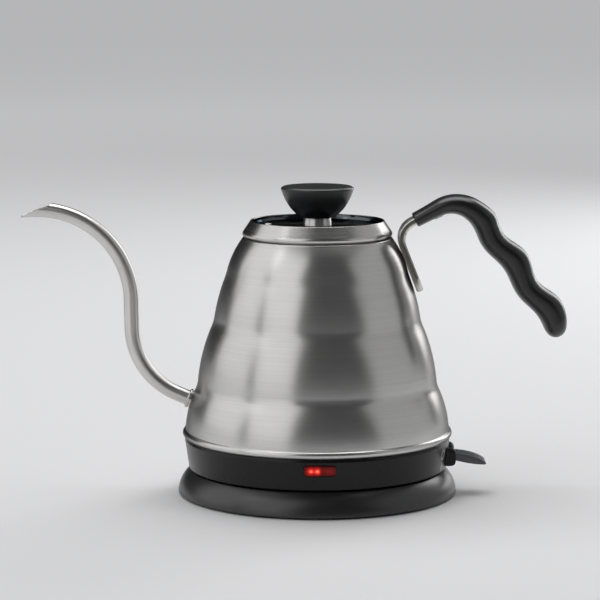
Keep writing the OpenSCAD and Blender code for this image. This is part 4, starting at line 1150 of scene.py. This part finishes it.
def channel(half, depth, thick, floor_share=1.0):
    """Section of the pressed channel as (across, off) points, its web at off = depth / 2.

    With a floor_share of 0 the channel is filled, as its rounded foot is.
    """
    top, rim = depth / 2, -depth / 2
    web = top - thick * (1 + (1 - floor_share) * (depth / thick - 1))
    inner = max(0.02, half - thick)
    roll = min(1.5, depth * 0.4)
    turn_in = min(0.55, thick / 2, 0.6 * (half - inner))
    corners = [(-half, rim + roll, 0.3), (-half, top, 1.0), (half, top, 1.0), (half, rim + roll, 0.3),
               (half - turn_in, rim, 0.5), (inner, rim, 0.25), (inner, min(web, top - thick), 0.4),
               (-inner, min(web, top - thick), 0.4), (-inner, rim, 0.25), (-half + turn_in, rim, 0.5)]
    if floor_share < 1:
        corners[6:8] = [(inner, rim + 0.02, 0.01), (-inner, rim + 0.02, 0.01)]
    return rounded(corners, 4)


def make_bracket():
    """The pressed strap: an open channel from its rounded foot to its tang inside the grip."""
    runs = ((BRACKET_L, 0), (BRACKET_BEND, -BRACKET_TURN), (BRACKET_NECK_L + TANG_L - 1, 0))
    path = stations(bracket_start(), runs, 0.7)
    radius, half_d = BRACKET_W / 2, BRACKET_D / 2
    rings, shares = [], []
    far = 0.0
    for before, at in zip(path[:1] + path, path):
        far += math.dist(at[:2], before[:2])
        half = math.sqrt(max(0.04, radius ** 2 - max(0.0, radius - far) ** 2))
        tuck = half_d - math.sqrt(max(0.01, half_d ** 2 - max(0.0, half_d - far) ** 2))
        floor_share = 1.0 if far > BRACKET_T + 0.1 else 0.0
        section = channel(half, BRACKET_D - 2 * tuck, BRACKET_T, floor_share)
        rings.append([beside(at, off, across) for across, off in section])
        shares += [off / half_d for _, off in section]
    verts, faces = skin(rings)
    strap = scratch("handle_strap", verts, faces)
    shares += [0.0] * (len(verts) - len(shares))
    # The share across the section sets where the bracket's finish paints its rim highlights.
    mark_points(strap, verts, "depth_share", shares)
    dressed(strap, "kettle", "bracket", ["handle_bracket"])


def grip_spine(s):
    """Station at distance s along the grip's middle line."""
    at = advance(grip_start(), min(s, GRIP_NECK_L))
    t = min(1, max(0, (s - GRIP_NECK_L) / GRIP_BEND_L))
    at = advance(at, GRIP_BEND_L * t, -GRIP_TURN * t)
    return advance(at, max(0, s - GRIP_ARM))


def grip_ring(s, sides=72):
    """Rounded oval section of the grip at distance s, swinging and swelling for the fingers."""
    wave = -math.cos(math.tau * (s - GRIP_ARM - GRIP_FIRST_DIP) / GRIP_PITCH)
    wave *= ease((s - GRIP_ARM + GRIP_WAVE_LEAD) / GRIP_EASE)
    into_cap = max(0, (s - GRIP_TOTAL + GRIP_CAP) / GRIP_CAP)
    size = max(0.02, math.sqrt(max(0, 1 - into_cap ** 2)))
    size *= 1 - GRIP_EDGE_IN * (1 - min(1, s / GRIP_EDGE)) ** 2
    thick = GRIP_NECK_T + (GRIP_T - GRIP_NECK_T) * ease(s / (GRIP_ARM + GRIP_EASE)) + GRIP_SWELL * wave
    wide = GRIP_NECK_W + (GRIP_W - GRIP_NECK_W) * ease(s / GRIP_ARM)
    at = grip_spine(s)
    ring = []
    for x, y in round_outline(1, sides):
        off = math.copysign(abs(x) ** GRIP_SQUARE, x) * thick * size / 2
        across = math.copysign(abs(y) ** GRIP_SQUARE, y) * wide * size / 2
        ring.append(beside(at, GRIP_SWING * wave + off, across))
    return ring


def make_grip():
    """The wavy grip with its rounded end, and the recess of its screw underneath."""
    cap_at = GRIP_TOTAL - GRIP_CAP
    marks = [0, 0.1, 0.25, 0.45, GRIP_EDGE]
    marks += [GRIP_EDGE + (cap_at - GRIP_EDGE) * i / 150 for i in range(1, 151)]
    marks += [cap_at + GRIP_CAP * math.sin(math.radians(90 * i / 16)) for i in range(1, 17)]
    grip = scratch("hand_grip", *skin([grip_ring(s) for s in marks]))
    at = advance(grip_start(), GRIP_SCREW_AT)
    recess = prism(round_outline(GRIP_SCREW_R, steps=40), [(-GRIP_W, 0), (-GRIP_SCREW_UNDER, 0)],
                   lambda u, v, w: beside(advance(at, u), w, v))
    carved(grip, scratch("screw_recess", *recess))
    dressed(grip, "kettle", "grip", ["handle_grip"])


# ---------------------------------------------------------------- lid

def make_lid_rim():
    """The lid's satin edge, from its brim round to its turned hem."""
    side = [Vector((LID_BROW_R, LID_BROW_Z))]
    side += swoop((LID_R - 0.9, LID_EDGE_Z + 3.6), (LID_R + 0.9, LID_EDGE_Z + 1.44),
                  (LID_R - 1, LID_EDGE_Z + 0.2), 24)
    side = softened(evenly(side, 0.15), 0.8)
    brim = rounded([(LID_RIM_R - 0.1, LID_TOP_Z - 0.25, 0), (LID_RIM_R + 0.05, LID_TOP_Z, 0.2),
                    (LID_RIM_R + 0.75, LID_TOP_Z, 0.3), (LID_BROW_R, LID_BROW_Z, 0)], 4)
    hem = [(LID_R - 1.15, LID_EDGE_Z), (LID_R - 1.65, LID_EDGE_Z), (LID_R - 1.8, LID_EDGE_Z + 0.2)]
    inside = [p - Vector((LID_T, 0.5)) for p in side[::-1][1:]]
    under = [(LID_RIM_R + 0.4, LID_TOP_Z - LID_T - 0.2), (LID_RIM_R - 0.1, LID_TOP_Z - LID_T)]
    rim = turned("lid_rim", brim + side[1:] + hem + inside + under, "lid", steps=200)
    dressed(rim, "lid", "lid", ["lid_cover"])


def make_lid_dish():
    """The dish in the lid, with its steam holes; its steel colour is a painted dark reflection."""
    lip = Vector((LID_RIM_R - 0.12, LID_TOP_Z - 0.22))
    under_z = DISH_Z - LID_T
    dish = [(0, under_z), (DISH_R - 0.2, under_z), lip + Vector((0.15, -0.9)), lip, lip - Vector((0, 0.25))]
    dish += swoop((DISH_R + 0.9, DISH_Z + 0.5), (DISH_R + 0.85, DISH_Z), (DISH_R + 0.2, DISH_Z), 8)
    dish += [(DISH_R - 2.2, DISH_Z), (0, DISH_Z)]
    disc = turned("lid_dish", dish, "dish", steps=200)
    for i in range(STEAM_HOLES):
        turn = math.radians(STEAM_START + i * STEAM_STEP)
        hole = prism(round_outline(STEAM_HOLE_R, steps=28),
                     [(DISH_Z - 3, 0), (DISH_Z - 0.15, 0), (DISH_Z + 0.5, 0.55)],
                     upright(STEAM_RING_R * math.cos(turn), STEAM_RING_R * math.sin(turn)))
        carved(disc, scratch("steam_hole", *hole))
    dressed(disc, "lid", "dish", ["lid_cover"])


def make_steam_rims():
    """The small turned rims round the steam holes."""
    outline = rounded([(STEAM_HOLE_R + 0.02, DISH_Z - 0.35, 0), (STEAM_HOLE_R + 0.6, DISH_Z - 0.35, 0),
                       (STEAM_HOLE_R + 0.5, DISH_Z + 0.16, 0.25),
                       (STEAM_HOLE_R + 0.02, DISH_Z + 0.18, 0.2)], 4)
    rims = turned("steam_rims", outline, "collar", steps=40)
    ring_of(rims, "collar", STEAM_HOLES, STEAM_RING_R, STEAM_START, STEAM_STEP)
    dressed(rims, "lid", "collar", ["lid_cover"])


def make_collar():
    """The steel collar between the dish and the knob."""
    top = KNOB_Z - 0.02
    outline = rounded([(0, DISH_Z, 0), (COLLAR_R + COLLAR_LIP, DISH_Z, 0.15),
                       (COLLAR_R - 0.2, top, 0.3), (0, top, 0)], 4)
    collar = turned("knob_collar", outline, "collar", steps=128)
    dressed(collar, "lid", "collar", ["lid_collar"])


def make_knob():
    """The knob: a small foot, the flare, a rounded edge and a slightly domed crown."""
    foot, edge = (KNOB_FOOT_R, KNOB_Z + 0.5), (KNOB_R - 0.02, KNOB_EDGE_Z)
    outline = [(0, KNOB_Z + 0.6), (KNOB_FOOT_R - 1.6, KNOB_Z + 0.6)]
    outline += swoop((KNOB_FOOT_R - 1.0, KNOB_Z), (KNOB_FOOT_R - 0.1, KNOB_Z), foot, 4)
    outline += swoop(foot, (KNOB_R - 3.0, KNOB_Z + 5.2), edge, 36)[1:]
    outline += swoop(edge, (KNOB_R + 0.01, KNOB_TOP_Z - 1.0), (KNOB_R - 0.25, KNOB_TOP_Z - 0.82), 6)[1:]
    outline += swoop((KNOB_R - 1.0, KNOB_TOP_Z - 0.3), (KNOB_R - 1.2, KNOB_TOP_Z - 0.17), KNOB_CROWN, 4)
    outline += swoop(KNOB_CROWN, (KNOB_R / 2, KNOB_TOP_Z), (0, KNOB_TOP_Z), 12)[1:]
    dressed(turned("knob", outline, "knob", steps=160), "lid", "knob", ["lid_knob"])


# ---------------------------------------------------------------- carried-over nodes

NODE_FINISHES = {
    "base_foot_ring": "rubber", "base_plate": "base", "base_contacts": "brass", "base_wires": "sleeve",
    "coupler_disc": "nylon", "coupler_contacts": "brass", "coupler_retainer": "nylon",
    "control_unit": "nylon", "snap_discs": "brass", "heat_spreader": "aluminium",
    "heating_element": "element", "element_pins": "zinc", "vessel_floor": "inner", "floor_studs": "zinc",
    "housing_bottom": "housing", "body_gasket": "rubber", "glow_lamp": "bulb", "lamp_holder": "nylon",
    "steam_switch": "nylon", "lever_pin": "zinc", "steam_tube": "inner", "grip_screws": "zinc",
    "lid_skirt": "inner", "knob_insert": "brass", "knob_screw": "zinc", "knob_washer": "zinc",
}


def dress_nodes():
    """Clads the CAD nodes that keep their own shape."""
    for node, finish in NODE_FINISHES.items():
        mesh = frame["nodes"][node].data
        for i in range(len(mesh.materials)):
            mesh.materials[i] = FINISH[finish]


# ---------------------------------------------------------------- studio

# Camera; its place is in mm
CAMERA_PLACE = (-9.1, -1400, 294.5)
CAMERA_PITCH = 7.82
CAMERA_LENS = 161.16
CAMERA_SENSOR = 36
SEEN_TO = 200

# Floor and lights, in m and W; each softbox has its place, its size and its power
FLOOR_REACH = 60
GLOW_FROM, GLOW_TO = 0.3, 3.2        # the floor's glow rises between these distances
GLOW = 0.60
AIMED_AT = (0, 0, 0.08)
WORLD_TONE = (0.027, 0.028, 0.029, 1)
SOFTBOXES = {
    "left_front_softbox": ((-1.08, -1.15, 0.92), (1.34, 1.85), 7.6),
    "left_back_softbox": ((-1.54, 0.12, 0.92), (1.62, 1.85), 8.8),
    "right_softbox": ((1.40, -0.05, 0.72), (2.1, 1.38), 3.7),
    "top_softbox": ((0.0, 0.55, 1.85), (1.8, 1.6), 27),
    "front_fill": ((0.40, -1.95, 1.0), (1.9, 1.1), 0.2),
    "rim_softbox": ((0.88, 1.20, 0.64), (0.62, 1.10), 7.4),
}


def make_camera():
    """A long lens in front of the kettle, looking slightly down."""
    data = bpy.data.cameras.new("camera")
    data.lens = CAMERA_LENS
    data.sensor_width = CAMERA_SENSOR
    data.sensor_fit = "HORIZONTAL"
    data.clip_end = SEEN_TO
    camera = added("camera", data)
    camera.location = Vector(CAMERA_PLACE) * MM
    camera.rotation_euler = (math.radians(90 - CAMERA_PITCH), 0, 0)
    bpy.context.scene.camera = camera


def make_floor():
    """A pale floor that glows with distance, for the eye and for reflections only."""
    mesh = bpy.data.meshes.new("floor")
    corners = [(sx * FLOOR_REACH, sy * FLOOR_REACH, 0) for sx, sy in ((-1, -1), (1, -1), (1, 1), (-1, 1))]
    mesh.from_pydata(corners, [], [(0, 1, 2, 3)])
    floor = added("floor", mesh)
    finish = Finish("pale_floor", Roughness=0.6, Emission_Color=(0.74, 0.74, 0.75, 1))
    finish.tint(finish.noise(0.8), (0.80, 0.80, 0.81), (0.82, 0.82, 0.83))
    far = finish.node("ShaderNodeVectorMath", {0: finish.place}, operation="LENGTH")["Value"]
    glow = finish.node("ShaderNodeMapRange", {
        "Value": far, "From Min": GLOW_FROM, "From Max": GLOW_TO, "To Max": GLOW,
    }, interpolation_type="SMOOTHSTEP")[0]
    path = finish.node("ShaderNodeLightPath")
    mirrored = finish.math("MAXIMUM", path["Is Glossy Ray"], path["Is Transmission Ray"])
    seen = finish.math("MAXIMUM", path["Is Camera Ray"], mirrored)
    finish.feed(finish.math("MULTIPLY", glow, seen), "Emission Strength")
    mesh.materials.append(finish.material)


def make_lights():
    """A dim world and the softboxes, each turned towards the kettle."""
    world = bpy.data.worlds.new("studio")
    world.use_nodes = True
    world.node_tree.nodes["Background"].inputs["Color"].default_value = WORLD_TONE
    bpy.context.scene.world = world
    for name, (place, size, power) in SOFTBOXES.items():
        data = bpy.data.lights.new(name, "AREA")
        data.shape = "RECTANGLE"
        data.size, data.size_y = size
        data.energy = power
        lamp = added(name, data)
        lamp.location = place
        lamp.rotation_euler = (Vector(AIMED_AT) - lamp.location).to_track_quat("-Z", "Y").to_euler()


TURNING = turning_tree()
RING = ring_tree()
GOOSENECK = gooseneck_tree()
FINISH = make_finishes()

make_camera()
make_floor()
make_lights()
make_base()
make_gland()
make_connector()
make_screws()
make_housing()
make_lamp()
make_switch_marks()
make_lever()
make_vessel()
make_spout()
make_ferrule()
make_bracket()
make_grip()
make_lid_rim()
make_lid_dish()
make_steam_rims()
make_collar()
make_knob()
dress_nodes()

bpy.context.scene.view_settings.view_transform = "Standard"
